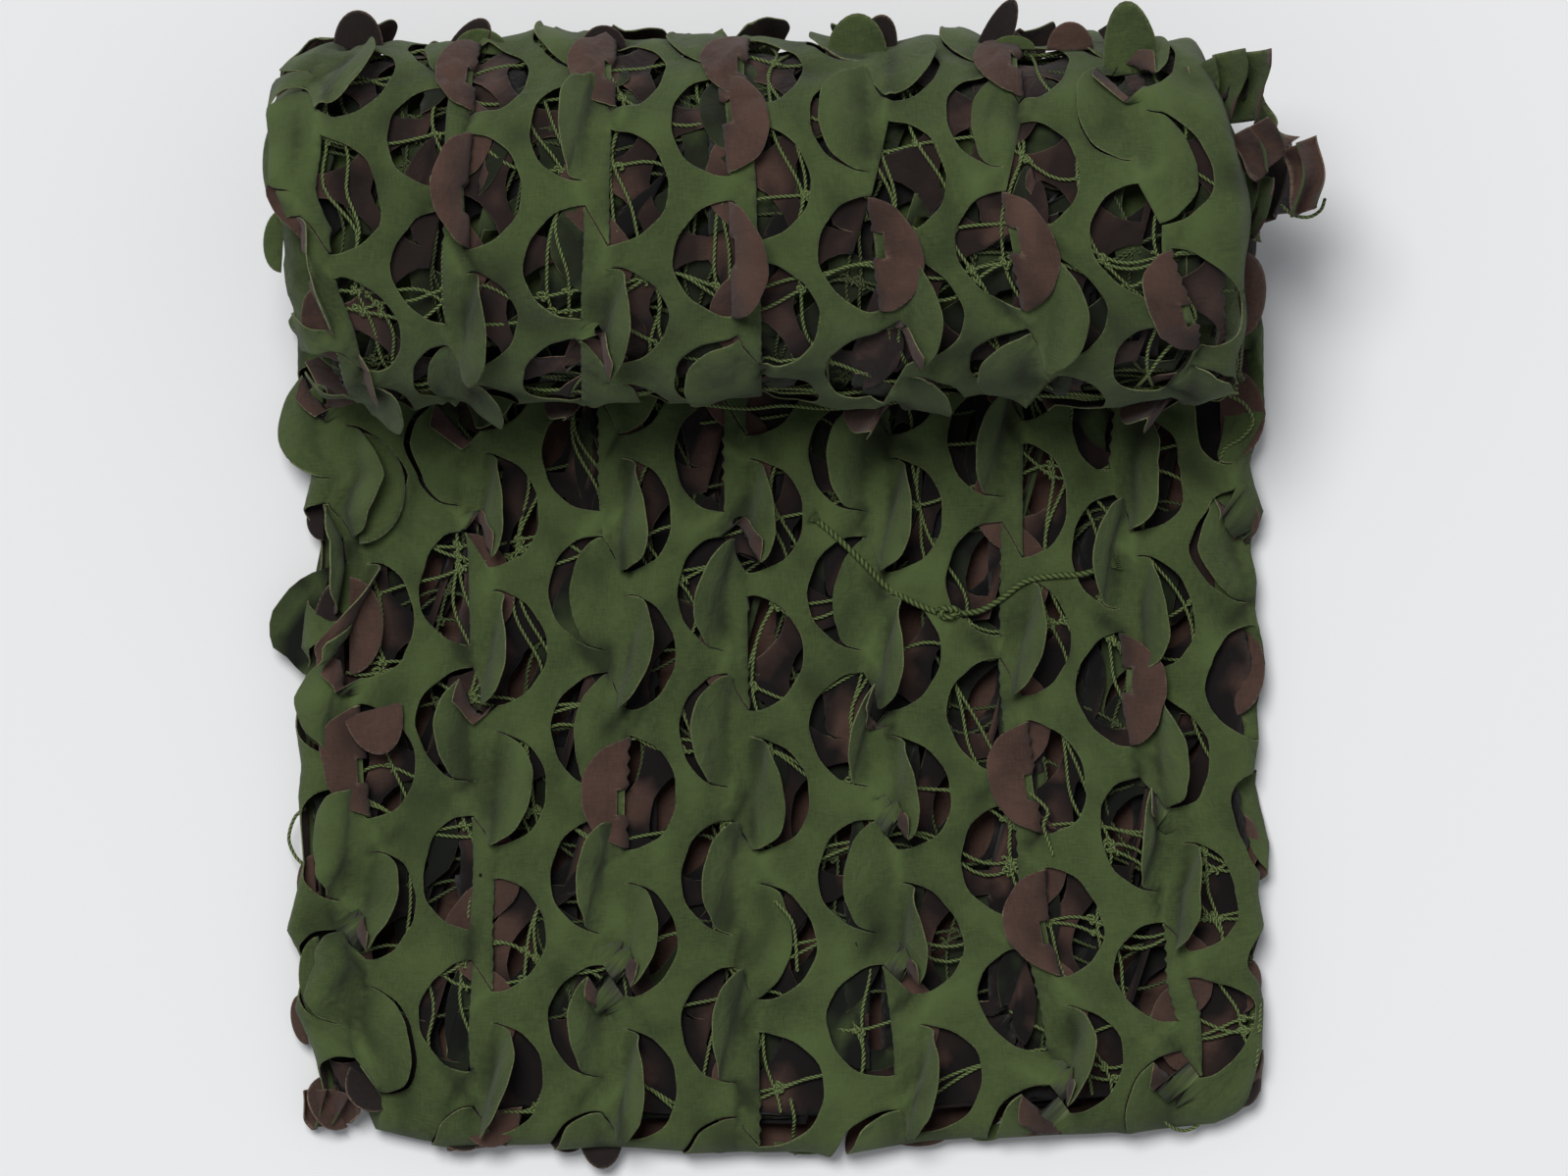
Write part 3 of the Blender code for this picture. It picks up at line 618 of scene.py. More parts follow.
    def neck_creases(self):
        """Short creases that run out from the ends of the cuts: start, way, width and height."""
        rng = random.Random(self.seed + 60)
        for way, x, centre, _turn in self.leaf_places() if self.banded else ():
            for end in (-way, way):
                angle, length = rng.uniform(-1.1, 1.1), rng.uniform(0.022, 0.042)
                width = rng.uniform(0.0026, 0.0050)
                height = rng.choice((-1, 1)) * rng.uniform(0.0016, 0.0038)
                if rng.random() < self.creased:
                    dx, dv = length * math.sin(angle), end * length * math.cos(angle)
                    yield x, centre + end * LEAF_RADIUS, dx, dv, width, height

    def neck_folds(self, u, v):
        """Height of the short creases at these flat places."""
        bulge = 0.0 * u
        for x0, v0, dx, dv, width, height in self.neck_creases():
            near = (np.abs(u - x0) < 0.05) & (np.abs(v - v0) < 0.05)
            across, along = u[near] - x0, v[near] - v0
            share = np.clip((across * dx + along * dv) / (dx * dx + dv * dv), 0, 1)
            off = np.hypot(across - share * dx, along - share * dv)
            wide = width * (0.6 + 0.8 * share)
            fading = 1 - smooth((share - 0.3) / 0.7)
            bulge[near] += height * np.exp(-((off / wide) ** 2)) * fading
        return bulge

    def fold_tone_and_painted_shading(self, u, v):
        """Painted shade in troughs and at hinges, painted highlight on ridges, from -1 to 1."""
        low, fine = self.rumples(u, v)
        # painted shade in the troughs and painted highlight on the ridges
        tone = self.neck_folds(u, v) / 0.0030 + 0.9 * fine + 0.7 * low
        for way, x, centre, turn in self.leaf_places():
            if turn <= FLAT:
                continue
            across, along = (u - x) * way, v - centre
            leaf = (across > 0) & (np.hypot(across, along) < LEAF_RADIUS)
            # painted highlight towards a lifted leaf's free edge, painted shade towards its hinge
            tone[leaf] += 0.75 * smooth(across[leaf] / (0.8 * LEAF_RADIUS)) - 0.45
            # painted shade in a band along the hinge
            bent = across + 0.003 * np.sin(90 * along + x * 300)
            near = (np.abs(bent) < HINGE_SHADE) & (np.abs(along) < LEAF_RADIUS)
            share = np.cos(along[near] / LEAF_RADIUS * 1.5)
            tone[near] -= 0.30 * share * (1 - np.abs(bent[near]) / HINGE_SHADE)
        return np.clip(tone, -1, 1)

    def gloom(self, u, v):
        """Painted shade under the rims of the holes above this layer, and in random patches."""
        rng = random.Random(self.seed + 70)
        dark = 0.0 * u
        for way, x, centre, _turn in self.above.leaf_places():
            strength, turn = rng.uniform(0.75, 1.0), rng.uniform(-1.0, 1.0)
            across, along = (u - x - float(self.above.drift(x, centre))) * way, v - centre
            off = np.hypot(across, along) / LEAF_RADIUS
            near = (off < 1.4) & (across > -0.006)
            # painted shade, deepest near the rims and stronger on one side of each hole
            ring = smooth((off[near] - 0.38) / 0.38)
            lit = 0.72 + 0.36 * np.cos(np.arctan2(along[near], across[near]) - turn)
            dark[near] = np.maximum(dark[near], strength * ring * lit)
        # random patches of painted shade
        patches = smooth((self.uneven(u, v, 42, 42, 9) + 0.01) / 0.12)
        return self.shade * np.clip(dark + patches, 0, 1)

    def rims(self, u, v):
        """The edges of the holes curl a little, each by its own height."""
        rng = random.Random(self.seed + 50)
        curl = 0.0 * u
        for way, x, centre, _turn in self.leaf_places():
            height, turn = rng.uniform(-0.0016, 0.0030), rng.uniform(-1.2, 1.2)
            across, along = (u - x) * way, v - centre
            off = np.hypot(across, along) - LEAF_RADIUS
            near = (off > -0.001) & (off < 0.02) & (across > -0.003)
            side_share = np.cos(np.arctan2(along[near], across[near]) - turn)
            curl[near] += height * np.exp(-((off[near] / 0.0065) ** 2)) * side_share
        return curl

    def settle(self, x, along, height):
        """Points at these places of the side view, drawn in to the net's uneven outline."""
        y, z = self.path.at(along, height - self.depth)
        if self.insets:
            left, right, front = self.insets
            row = CENTRE_PIXEL[1] - y / METRES_PER_PIXEL
            left_in = np.interp(row, *zip(*left)) * smooth((-INSET_FROM - x) / INSET_WIDTH)
            right_in = np.interp(row, *zip(*right)) * smooth((x - INSET_FROM) / INSET_WIDTH)
            x = x + (left_in - right_in) * METRES_PER_PIXEL
            if front:
                column = CENTRE_PIXEL[0] + x / METRES_PER_PIXEL
                near = smooth((row - 900) / 230)
                y = y + np.interp(column, *zip(*front)) * near * METRES_PER_PIXEL
        return x, y, z

    def place_leaf(self, leaf, d, a, folds):
        """The hinge, place along, reach and rise of points so far out and along a leaf."""
        way, centre_x, centre_v, turn = leaf
        twist, tip, loop, tip_turn = folds
        low = a * 0
        if tip and 0 < turn < 100:
            past = np.maximum((a - TIP_START - d) / math.sqrt(2), 0.0)
            moved = past * (1 - math.cos(math.radians(tip_turn))) / math.sqrt(2)
            low = past * math.sin(math.radians(tip_turn)) + 0.0008 * smooth(past / 0.002)
            d, a = d + moved, a - moved
        share = np.clip(0.5 + 0.5 * a / LEAF_RADIUS, 0, 1)
        hinge = hinge_line(a) if slants(turn) else 0.0 * a
        d = np.maximum(d - hinge, 0.0)
        middle = centre_x + float(self.drift(centre_x, centre_v))
        reach, rise = 0.0, 0.0
        for weight, part in ((1 - share, 1 - twist), (share, 1 + twist)):
            this_turn = turn * part if 0 <= turn < 100 else turn
            steps, reaches, rises = leaf_line(self.section, middle, way, this_turn, loop)
            reach = reach + weight * np.interp(d, steps, reaches)
            rise = rise + weight * np.interp(d, steps, rises)
        if self.ceiling:
            raised = np.maximum(rise + low, 0)
            rise = np.minimum(rise, 0) + self.ceiling * (1 - np.exp(-raised / self.ceiling))
            low = 0.0
        return centre_x + way * hinge, centre_v + a * way, way * reach, rise + low

    def place(self, u, v):
        """Where the flat points come to, as an array of points."""
        x, height = self.section.at(u + self.drift(u, v))
        over, along = u.copy(), v.copy()
        rng = random.Random(self.seed)
        for way, centre_x, centre_v, turn in self.leaf_places():
            folds = (
                rng.uniform(-LEAF_TWIST, LEAF_TWIST), rng.random() < BENT_TIPS,
                rng.uniform(0.0050, 0.0075), rng.uniform(140, 165),
            )
            if turn in (FLAT, GONE):
                continue
            d, a = (u - centre_x) * way, (v - centre_v) * way
            radius = cut_radius(np.arctan2(v - centre_v, d), centre_v)
            inside = (d > 0) & (np.hypot(d, a) < radius)
            if slants(turn):
                past_hinge = d > np.maximum(hinge_line(a), free_line(a))
                inside |= (d <= 0) & (np.abs(a) < LEAF_RADIUS) & past_hinge
            if not inside.any():
                continue
            leaf = way, centre_x, centre_v, turn
            hinge_u, places, reach, rise = self.place_leaf(leaf, d[inside], a[inside], folds)
            hinge_x, hinge_height = self.section.at(hinge_u + self.drift(hinge_u, places))
            x[inside], height[inside] = hinge_x + reach, hinge_height + rise
            over[inside], along[inside] = hinge_u + reach, places
        if self.drop_end:
            low_part = smooth((along - self.drop_end) / 0.03)
            hanging = 1 - np.exp(np.minimum(height, 0) * 300)
            height = height * (1 - low_part) - 0.003 * low_part * hanging
        height = height + self.relief(over, along) + self.rims(over, along) * (height > -0.02)
        if self.slips:
            x = x + self.slips(u, v)
        x, y, z = self.settle(x, along, height)
        eased = LEAST_HEIGHT + EASING * np.exp(np.minimum(z - EASED_FROM, 0) / EASING)
        return np.stack([x, y, np.where(z < EASED_FROM, eased, z)], axis=1)


# ---------------------------------------------------------------- the flat cutting pattern


def arc(centre_x, centre_v, way, steps):
    """A leaf's half circle, from its end nearer the roll."""
    line = []
    for i in range(steps + 1):
        angle = math.radians(180 * i / steps - 90)
        radius = float(cut_radius(angle, centre_v))
        out = way * radius * math.cos(angle)
        line.append((centre_x + out, centre_v + radius * math.sin(angle)))
    return line


def slit_line(cloth, column, row, steps):
    """The S-shaped cut round a right leaf, up its free side and round the left leaf below it."""
    line = []
    if cloth.state(column, row, 1) is not None:
        line += arc(cloth.column_x(column, 1), cloth.leaf_centre(column, row, 1), 1, steps)
    if cloth.state(column, row + 1, 0) is not None:
        below = arc(cloth.column_x(column, 0), cloth.leaf_centre(column, row + 1, 0), -1, steps)
        if line:
            (x, start), (next_x, end) = line[-1], below[0]
            dx, dv = next_x - x, end - start
            line += [(x + dx * i / 5, start + dv * i / 5) for i in range(1, 5)]
        line += below
    return line


def stroke(line, half_width, past):
    """The outline of a line drawn so wide, pointed at its two ends and running past them."""
    p = np.array(line)
    way = np.diff(p, axis=0)
    way /= np.linalg.norm(way, axis=1)[:, None]
    before, after = way[:-1], way[1:]
    normal_before = np.stack([-before[:, 1], before[:, 0]], axis=1)
    normal_after = np.stack([-after[:, 1], after[:, 0]], axis=1)
    scale = 1 + (normal_before * normal_after).sum(axis=1)
    mitre = (normal_before + normal_after) / scale[:, None]
    inner = p[1:-1]
    start, end = p[0] - past * way[0], p[-1] + past * way[-1]
    loop = [start, *(inner + half_width * mitre), end, *(inner - half_width * mitre)[::-1]]
    return [tuple(point) for point in loop]


def add_loop(points, coords):
    """Add points to the pattern and return their numbers."""
    start = len(coords)
    coords.extend(points)
    return list(range(start, len(coords)))


def anticlockwise(loop, coords):
    """The loop of point numbers, turned round if it runs clockwise."""
    pairs = zip(loop, loop[1:] + loop[:1])
    area = sum(coords[a][0] * coords[b][1] - coords[b][0] * coords[a][1] for a, b in pairs)
    return loop if area > 0 else loop[::-1]


def wandering_edge(cloth, place, rows):
    """One side edge of the flat cloth, a little uneven."""
    line = []
    for v in rows:
        uneven = EDGE_WANDER * noise.noise(Vector((v * 23, place * 9, cloth.seed)))
        nearest = max((v - cloth.path.length + 0.07) / 0.07, (0.055 - v) / 0.055)
        inward = cloth.taper * float(smooth(nearest))
        uneven += inward if place < 0 else -inward
        line.append((place + uneven - float(cloth.drift(place, v)), v))
    return line


def notch(centre_x, centre_v, way):
    """The square cut at the neck of a leaf that is turned over."""
    low, high = TIP_START - NECK_LENGTH, TIP_START + 0.0004
    corners = ((-0.0004, low), (NOTCH_DEPTH, low), (NOTCH_DEPTH, high), (-0.0004, high))
    return [(centre_x + way * d, centre_v + way * a) for d, a in corners]


def point_tree(points):
    """A search tree of flat points."""
    tree = kdtree.KDTree(len(points))
    for i, (u, v) in enumerate(points):
        tree.insert((u, v, 0), i)
    tree.balance()
    return tree


def leaf_cuts(cloth, arc_steps, coords):
    """The holes and edges that cut the leaves, added to the pattern's points, and cut points."""
    holes, edges, cut_points = [], [], []
    for column in range(len(cloth.leaves)):
        for row in range(-1, len(cloth.leaves[column])):
            line = slit_line(cloth, column, row, arc_steps)
            if not line:
                continue
            slit = stroke(line, SLIT_HALF_WIDTH, 0.0)
            cut_points += slit
            holes.append(add_loop(slit, coords))
            if cloth.banded:
                band = add_loop(stroke(line, SLIT_HALF_WIDTH + FRAYED_BAND, FRAYED_BAND), coords)
                edges += zip(band, band[1:] + band[:1])
    for way, x, v, turn in cloth.leaf_places():
        if turn == GONE:
            corner = x + way * hinge_line(TIP_START), v + way * TIP_START
            holes.append(add_loop([*arc(x, v, way, arc_steps), corner], coords))
            continue
        if slants(turn):
            places = np.linspace(-0.97 * LEAF_RADIUS, TIP_START - 0.001, 13)
            hinge = [(x + way * hinge_line(a), v + way * a) for a in places]
        else:
            hinge = [(x, v + way * a) for a in np.linspace(-0.97, 0.97, 19) * LEAF_RADIUS]
        line = add_loop(hinge, coords)
        edges += zip(line, line[1:])
        if turn > 100:
            neck = notch(x, v, way)
            holes.append(add_loop(neck, coords))
            cut_points += neck
    return holes, edges, cut_points


def flat_pattern(cloth, edges_u, span, step, coarse_from, coarse_step, arc_steps):
    """Points, triangles and frayed points of the flat sheet with its leaves cut."""
    start, end = span
    rows = list(np.arange(start, min(end, coarse_from), step * 1.6))
    if coarse_from < end:
        rows += list(np.arange(coarse_from, end, coarse_step))
    rows.append(end)
    left, right = (wandering_edge(cloth, place, rows) for place in edges_u)
    coords = []
    outline = add_loop(left + right[::-1], coords)
    holes, edges, cut_points = leaf_cuts(cloth, arc_steps, coords)
    tree = point_tree(coords)
    inner = []
    for low, high, gap in ((start, coarse_from, step), (coarse_from, end, coarse_step)):
        for j, v in enumerate(np.arange(low + gap / 2, min(high, end), gap * 0.866)):
            for u in np.arange(edges_u[0] - 0.03 + gap / 2 * (j % 2), edges_u[1] + 0.03, gap):
                if tree.find((u, v, 0))[2] > gap * 0.55:
                    inner.append((u, v))
    add_loop(inner, coords)
    loops = [anticlockwise(loop, coords) for loop in [outline, *holes]]
    coords = [tuple(map(float, point)) for point in coords]
    points, _, triangles, _, _, sources = delaunay_2d_cdt(coords, edges, loops, 1, 1e-7, True)
    kept = [t for t, source in zip(triangles, sources) if list(source) == [0]]
    cuts = point_tree(cut_points)
    return points, kept, [cuts.find((*point, 0))[2] < 0.0002 for point in points]


def new_mesh():
    """An empty mesh and its map of flat places."""
    bm = bmesh.new()
    return bm, bm.loops.layers.uv.new("flat")


def lay_flat(uv_layer, flat):
    """Smooth the faces of these points, with each point's flat place as its UV."""
    for face in {face for vert in flat for face in vert.link_faces}:
        face.smooth = True
        for loop in face.loops:
            loop[uv_layer].uv = flat[loop.vert]


def add_piece(name, bm, materials):
    """The mesh as a piece of the scene, with its materials by name."""
    mesh = bpy.data.meshes.new(name)
    bm.to_mesh(mesh)
    bm.free()
    obj = bpy.data.objects.new(name, mesh)
    bpy.context.scene.collection.objects.link(obj)
    for material in materials:
        mesh.materials.append(bpy.data.materials[material])
    return obj


def add_sheet(name, bm, materials, thickness):
    """A thin sheet as a piece; its materials are its face, its back and its cut edge."""
    obj = add_piece(name, bm, materials)
    wall = obj.modifiers.new("Wall", "SOLIDIFY")
    wall.thickness = thickness
    wall.offset = 0.0
    wall.material_offset = 1
    wall.material_offset_rim = 2
    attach(obj, BODY)
    return obj


def build_cloth(name, cloth, edges_u, span, density, materials, thickness):
    """The cut cloth as a sheet with its flat pattern as its UV map."""
    points, triangles, frayed = flat_pattern(cloth, edges_u, span, *density)
    used = sorted({i for t in triangles for i in t})
    flat = np.array([points[i][:] for i in used])
    u, v = flat[:, 0].copy(), flat[:, 1].copy()
    looks = {
        "fray": [frayed[i] for i in used],
        # painted shade of an inner layer under the holes of the cloth above it
        "gloom": cloth.gloom(u, v) if cloth.above else 0.0 * u,
        # painted shade and painted highlight of the folds
        "tone": cloth.fold_tone_and_painted_shading(u, v),
    }
    bm, uv_layer = new_mesh()
    layers = [bm.verts.layers.float.new(look) for look in looks]
    verts, flat_of = {}, {}
    for i, uv, point, *values in zip(used, flat, cloth.place(u, v), *looks.values()):
        verts[i] = bm.verts.new(point)
        flat_of[verts[i]] = uv
        for layer, value in zip(layers, values):
            verts[i][layer] = float(value)
    for triangle in triangles:
        bm.faces.new([verts[i] for i in reversed(triangle)])
    lay_flat(uv_layer, flat_of)
    obj = add_sheet(name, bm, materials, thickness)
    return obj


# ---------------------------------------------------------------- loose leaves at the edges


def photo_point(x, y, height):
    """A pixel of the photograph and a height, as a point."""
    plan = (x - CENTRE_PIXEL[0]) * METRES_PER_PIXEL, (CENTRE_PIXEL[1] - y) * METRES_PER_PIXEL
    return *plan, height


def add_leaf(bm, layers, x, y, height, heading, lift, curl, size, narrow, twist):
    """A half-round leaf that stands out from its hinge; returns its flat area."""
    uv_layer, fray_layer = layers
    origin = Vector(photo_point(x, y, height))
    heading = math.radians(heading)
    ahead = Vector((math.cos(heading), math.sin(heading), 0))
    beside = Vector((math.sin(heading), -math.cos(heading), 0))
    steps = np.linspace(0, size, 40)
    slope = math.radians(lift) * smooth(steps / (0.35 * size)) + math.radians(curl) * steps / size
    reach = np.cumsum(np.cos(slope)) * steps[1]
    rise = np.cumsum(np.sin(slope)) * steps[1]
    flat = {}
    for vert in bmesh.ops.create_grid(bm, x_segments=16, y_segments=9, size=1)["verts"]:
        angle, radius = vert.co.x * math.pi / 2, (vert.co.y + 1) / 2 * size
        out, side = radius * math.cos(angle), radius * math.sin(angle) * narrow
        flat[vert] = (origin.x + side, origin.y + out)
        vert[fray_layer] = float(vert.co.y > 0.85)
        up = float(np.interp(out, steps, rise)) + twist * side * out / size
        up += 0.0012 * noise.noise(Vector((side * 60, out * 60, origin.x * 90)))
        place = origin + ahead * float(np.interp(out, steps, reach)) + beside * side
        vert.co = place + Vector((0, 0, up))
        vert.co.z = max(vert.co.z, LEAST_SCRAP_HEIGHT)
    lay_flat(uv_layer, flat)
    bmesh.ops.remove_doubles(bm, verts=list(flat), dist=1e-5)
    return math.pi / 2 * size * size * narrow


def add_crumple(bm, layers, *crumple):
    """A crumpled end of cloth between its corners; returns its flat area."""
    uv_layer, fray_layer = layers
    *corners, folds, depth, start, _colour = crumple
    a, b, c, d = (Vector(photo_point(*corner)) for corner in corners)
    columns, rows = 30, 16
    grid = {}
    for vert in bmesh.ops.create_grid(bm, x_segments=columns, y_segments=rows, size=1)["verts"]:
        s, t = (vert.co.x + 1) / 2, (1 - vert.co.y) / 2
        vert[fray_layer] = float(max(abs(vert.co.x), abs(vert.co.y)) > 0.93)
        grid[round(s * columns), round(t * rows)] = vert
        place = (a * (1 - s) + b * s) * (1 - t) + (d * (1 - s) + c * s) * t
        turn = 2 * math.pi * folds * (s + 0.25 * t * t) + start
        wave = depth * math.sin(turn + 1.1 * math.sin(3 * t + start))
        rough = Vector([noise.noise(place * 40 + Vector((k * 7, 0, start))) for k in range(3)])
        sideways = (b - a).normalized() * depth * 0.5 * math.cos(turn)
        vert.co = place + Vector((0, 0, wave)) + sideways + rough * depth * 0.9
        vert.co.z = max(vert.co.z, LEAST_SCRAP_HEIGHT)
    wide = sum((grid[i, 8].co - grid[i + 1, 8].co).length for i in range(columns))
    long = sum((grid[15, j].co - grid[15, j + 1].co).length for j in range(rows))
    flat = {v: (a.x + i / columns * wide, a.y - j / rows * long) for (i, j), v in grid.items()}
    lay_flat(uv_layer, flat)
    return wide * long


def build_scraps(name, add_scrap, scraps, colour):
    """Several loose leaves or crumpled ends as one thin piece."""
    bm, uv_layer = new_mesh()
    layers = uv_layer, bm.verts.layers.float.new("fray")
    area = sum(add_scrap(bm, layers, *scrap) for scrap in scraps)
    obj = add_sheet(name, bm, SCRAP_MATERIALS[colour], SCRAP_THICKNESS)


# ---------------------------------------------------------------- cords


def smooth_route(points, step):
    """Evenly spaced points on a smooth curve through the route's own points."""
    points = np.array(points, float)
    knots = [2 * points[0] - points[1], *points, 2 * points[-1] - points[-2]]
    fine = []
    for i in range(1, len(knots) - 2):
        p0, p1, p2, p3 = knots[i - 1 : i + 3]
        for t in np.linspace(0, 1, 12, endpoint=i == len(knots) - 3):
            linear = 2 * p1 + (p2 - p0) * t
            square = (2 * p0 - 5 * p1 + 4 * p2 - p3) * t**2
            cubic = (3 * p1 - p0 - 3 * p2 + p3) * t**3
            fine.append(0.5 * (linear + square + cubic))
    fine = np.array(fine)
    along = distances(fine)
    places = np.linspace(0, along[-1], max(3, round(along[-1] / step)))
    return np.stack([np.interp(places, along, fine[:, k]) for k in range(3)], axis=1)


def add_tube(bm, uv_layer, line, radius, sides):
    """A grid rolled into a tube round the line, with metres along and turns round as its UV."""
    line = np.array(line, float)
    steps = len(line) - 1
    tangent = np.gradient(line, axis=0)
    tangent /= np.linalg.norm(tangent, axis=1)[:, None]
    side = np.cross(tangent, np.array([0.13, 0.07, 1.0]))
    side /= np.linalg.norm(side, axis=1)[:, None]
    up = np.cross(side, tangent)
    along = distances(line)
    place = {}
    for vert in bmesh.ops.create_grid(bm, x_segments=sides, y_segments=steps, size=1)["verts"]:
        turn = (vert.co.x + 1) / 2
        i = round((vert.co.y + 1) / 2 * steps)
        angle = 2 * math.pi * turn
        place[vert] = (float(along[i]), turn)
        vert.co = line[i] + radius * (math.cos(angle) * side[i] + math.sin(angle) * up[i])
    lay_flat(uv_layer, place)


def finish_tubes(name, bm, look):
    """The tubes as one piece of cord in this material."""
    bmesh.ops.remove_doubles(bm, verts=bm.verts, dist=1e-6)
    bmesh.ops.recalc_face_normals(bm, faces=bm.faces)
    obj = add_piece(name, bm, [look])
    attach(obj, BODY)
    return obj


def net_lines(edges_u, span, cell, seed):
    """The strands of a loose net under a cloth, some of them doubled: flat places and depths."""
    rng = random.Random(seed)
    lines = []
    for across, (start, end), (low, high) in ((True, edges_u, span), (False, span, edges_u)):
        run = np.arange(start, end, NET_STEP)
        base = low + rng.uniform(0, cell)
        while base < high:
            slope, wave = rng.uniform(-0.22, 0.22), rng.uniform(0, 6)
            sway = rng.uniform(0.003, 0.008)
            bend = sway * np.sin(run * 62 + wave) + 0.0018 * np.sin(run * 121 + 2 * wave)
            depth = 0.0005 * np.sin(run * 68 + wave * 3)
            apart = 1 + 1.1 * np.sin(run * 70 + wave)
            gaps = (0.0, rng.uniform(0.0024, 0.0065)) if rng.random() < 0.5 else (0.0,)
            for gap in gaps:
                side = base + slope * (run - run.mean()) + bend + gap * apart
                keep = (side > low) & (side < high)
                if keep.sum() > 5:
                    pair = (run[keep], side[keep]) if across else (side[keep], run[keep])
                    lines.append((across, *pair, depth[keep] + 0.08 * gap))
            base += cell * rng.uniform(0.72, 1.28)
    return lines


def crossings(lines):
    """Places where a strand across meets one along the net."""
    along_net = [line for line in lines if not line[0]]
    for across, u, v, depth in lines:
        for _, u2, v2, _ in along_net if across else ():
            off = np.hypot(u[:, None] - u2[None, :], v[:, None] - v2[None, :])
            if off.min() < KNOT_REACH:
                i, _ = np.unravel_index(int(off.argmin()), off.shape)
                yield u[i], v[i], depth[i]


def build_net(name, cloth, depth, edges_u, span, cell, radius, look):
    """A net of cord as joined tubes, with a knot where two strands meet."""
    bm, uv_layer = new_mesh()
    seed = len(name)

    def add_strand(u, v, sink):
        x, _ = cloth.section.at(u + cloth.drift(u, v))
        height = cloth.relief(u, v) * 0.96 + np.minimum(cloth.rims(u, v), 0) - depth + sink
        line = np.stack(cloth.settle(x, v, height + cloth.depth), axis=1)
        add_tube(bm, uv_layer, line, radius, 6)

    lines = net_lines(edges_u, span, cell, seed)
    for _across, u, v, sink in lines:
        add_strand(u, v, sink)
    rng = random.Random(seed + 1)
    turns = np.linspace(0, 1, 15)
    for u, v, sink in crossings(lines):
        angle = 2 * math.pi * KNOT_TURNS * turns + rng.uniform(0, 6)
        size, stretch = rng.uniform(0.0011, 0.0017), rng.uniform(0.001, 0.005)
        across = size * np.cos(angle) + stretch * (turns - 0.5)
        along = size * np.sin(angle) + 0.003 * (turns - 0.5)
        add_strand(u + across, v + along, sink + radius * 0.5 * turns)
    return finish_tubes(name, bm, look)


# ---------------------------------------------------------------- materials


def plug(tree, value, socket):
    """Give the socket a value, or link it to another node's output."""
    if isinstance(value, bpy.types.NodeSocket):
        tree.links.new(value, socket)
    else:
        socket.default_value = value


def add_node(tree, kind, **inputs):
    """A node of this kind; in the names of its inputs, _ stands for a space."""
    node = tree.nodes.new("ShaderNode" + kind)
    for name, value in inputs.items():
        plug(tree, value, node.inputs[name.replace("_", " ")])
    return node


def math_node(tree, operation, first, second=0.5, kind="Math"):
    """The result of a sum with two numbers, or with two vectors."""
    node = add_node(tree, kind)
    node.operation = operation
    plug(tree, first, node.inputs[0])
    plug(tree, second, node.inputs[1])
    return node.outputs[0]


def add_group(name, value, default, outputs):
    """A node group: itself, its only value, its flat coordinates, and its node of outputs."""
    group = bpy.data.node_groups.new(name, "ShaderNodeTree")
    kind = "NodeSocketFloat"
    socket = group.interface.new_socket(name=value, in_out="INPUT", socket_type=kind)
    socket.default_value = default
    for output in outputs:
        group.interface.new_socket(name=output, in_out="OUTPUT", socket_type=kind)
    enter, leave = group.nodes.new("NodeGroupInput"), group.nodes.new("NodeGroupOutput")
    return group, enter.outputs[value], add_node(group, "TexCoord").outputs["UV"], leave


def weave_group():
    """Plain weave on the flat pattern: the height of its threads, and their uneven tone."""
    group, threads, flat, leave = add_group("plain_weave", "Threads", THREADS, ("Height", "Tone"))
    split = add_node(group, "SeparateXYZ", Vector=flat)
    waves = []
    for axis in ("X", "Y"):
        turned = math_node(group, "MULTIPLY", split.outputs[axis], threads)
        waves.append(math_node(group, "SINE", math_node(group, "MULTIPLY", turned, 2 * math.pi)))
    streaks = []
    for scale in ((1000.0, 160.0, 1.0), (160.0, 1000.0, 1.0)):
        stretched = math_node(group, "MULTIPLY", flat, scale, "VectorMath")
        noises = add_node(group, "TexNoise", Vector=stretched, Scale=1.0, Detail=2.0)
        streaks.append(noises.outputs["Fac"])
    tone = math_node(group, "ADD", *streaks)
    height = math_node(group, "ADD", math_node(group, "MULTIPLY", *waves), tone)
    plug(group, height, leave.inputs["Height"])
    plug(group, math_node(group, "MULTIPLY", tone, 0.5), leave.inputs["Tone"])


def mottle_rumple_group():
    """Broad mottling and small rumples at random, on the flat pattern."""
    outputs = ("Mottle", "Rumple")
    group, size, flat, leave = add_group("used_cloth", "Patch Size", PATCHES, outputs)
    patches = {"Scale": size, "Detail": 4.0, "Roughness": 0.62}
    rumples = {"Scale": 95.0, "Detail": 3.0, "Distortion": 0.6}
    for output, values in zip(outputs, (patches, rumples)):
        noises = add_node(group, "TexNoise", Vector=flat, **values)
        plug(group, noises.outputs["Fac"], leave.inputs[output])


def twist_group():
    """Two strands laid round each other, on a cord's own metres along and turns round."""
    group, lay, flat, leave = add_group("laid_cord", "Lay", NET_LAY, ("Height",))
    split = add_node(group, "SeparateXYZ", Vector=flat)
    along = math_node(group, "MULTIPLY", split.outputs["X"], lay)
    phase = math_node(group, "ADD", along, split.outputs["Y"])
    wave = math_node(group, "SINE", math_node(group, "MULTIPLY", phase, 4 * math.pi))
    height = math_node(group, "ADD", math_node(group, "MULTIPLY", wave, 0.5), 0.5)
    plug(group, height, leave.inputs["Height"])


def colour_mix(tree, factor, first, second):
    """A mix of two colours, each a value or another node's output."""
    mix = add_node(tree, "Mix")
    mix.data_type = "RGBA"
    for name, value in (("Factor", factor), ("A", first), ("B", second)):
        plug(tree, value, mix.inputs[name])
    return mix.outputs["Result"]


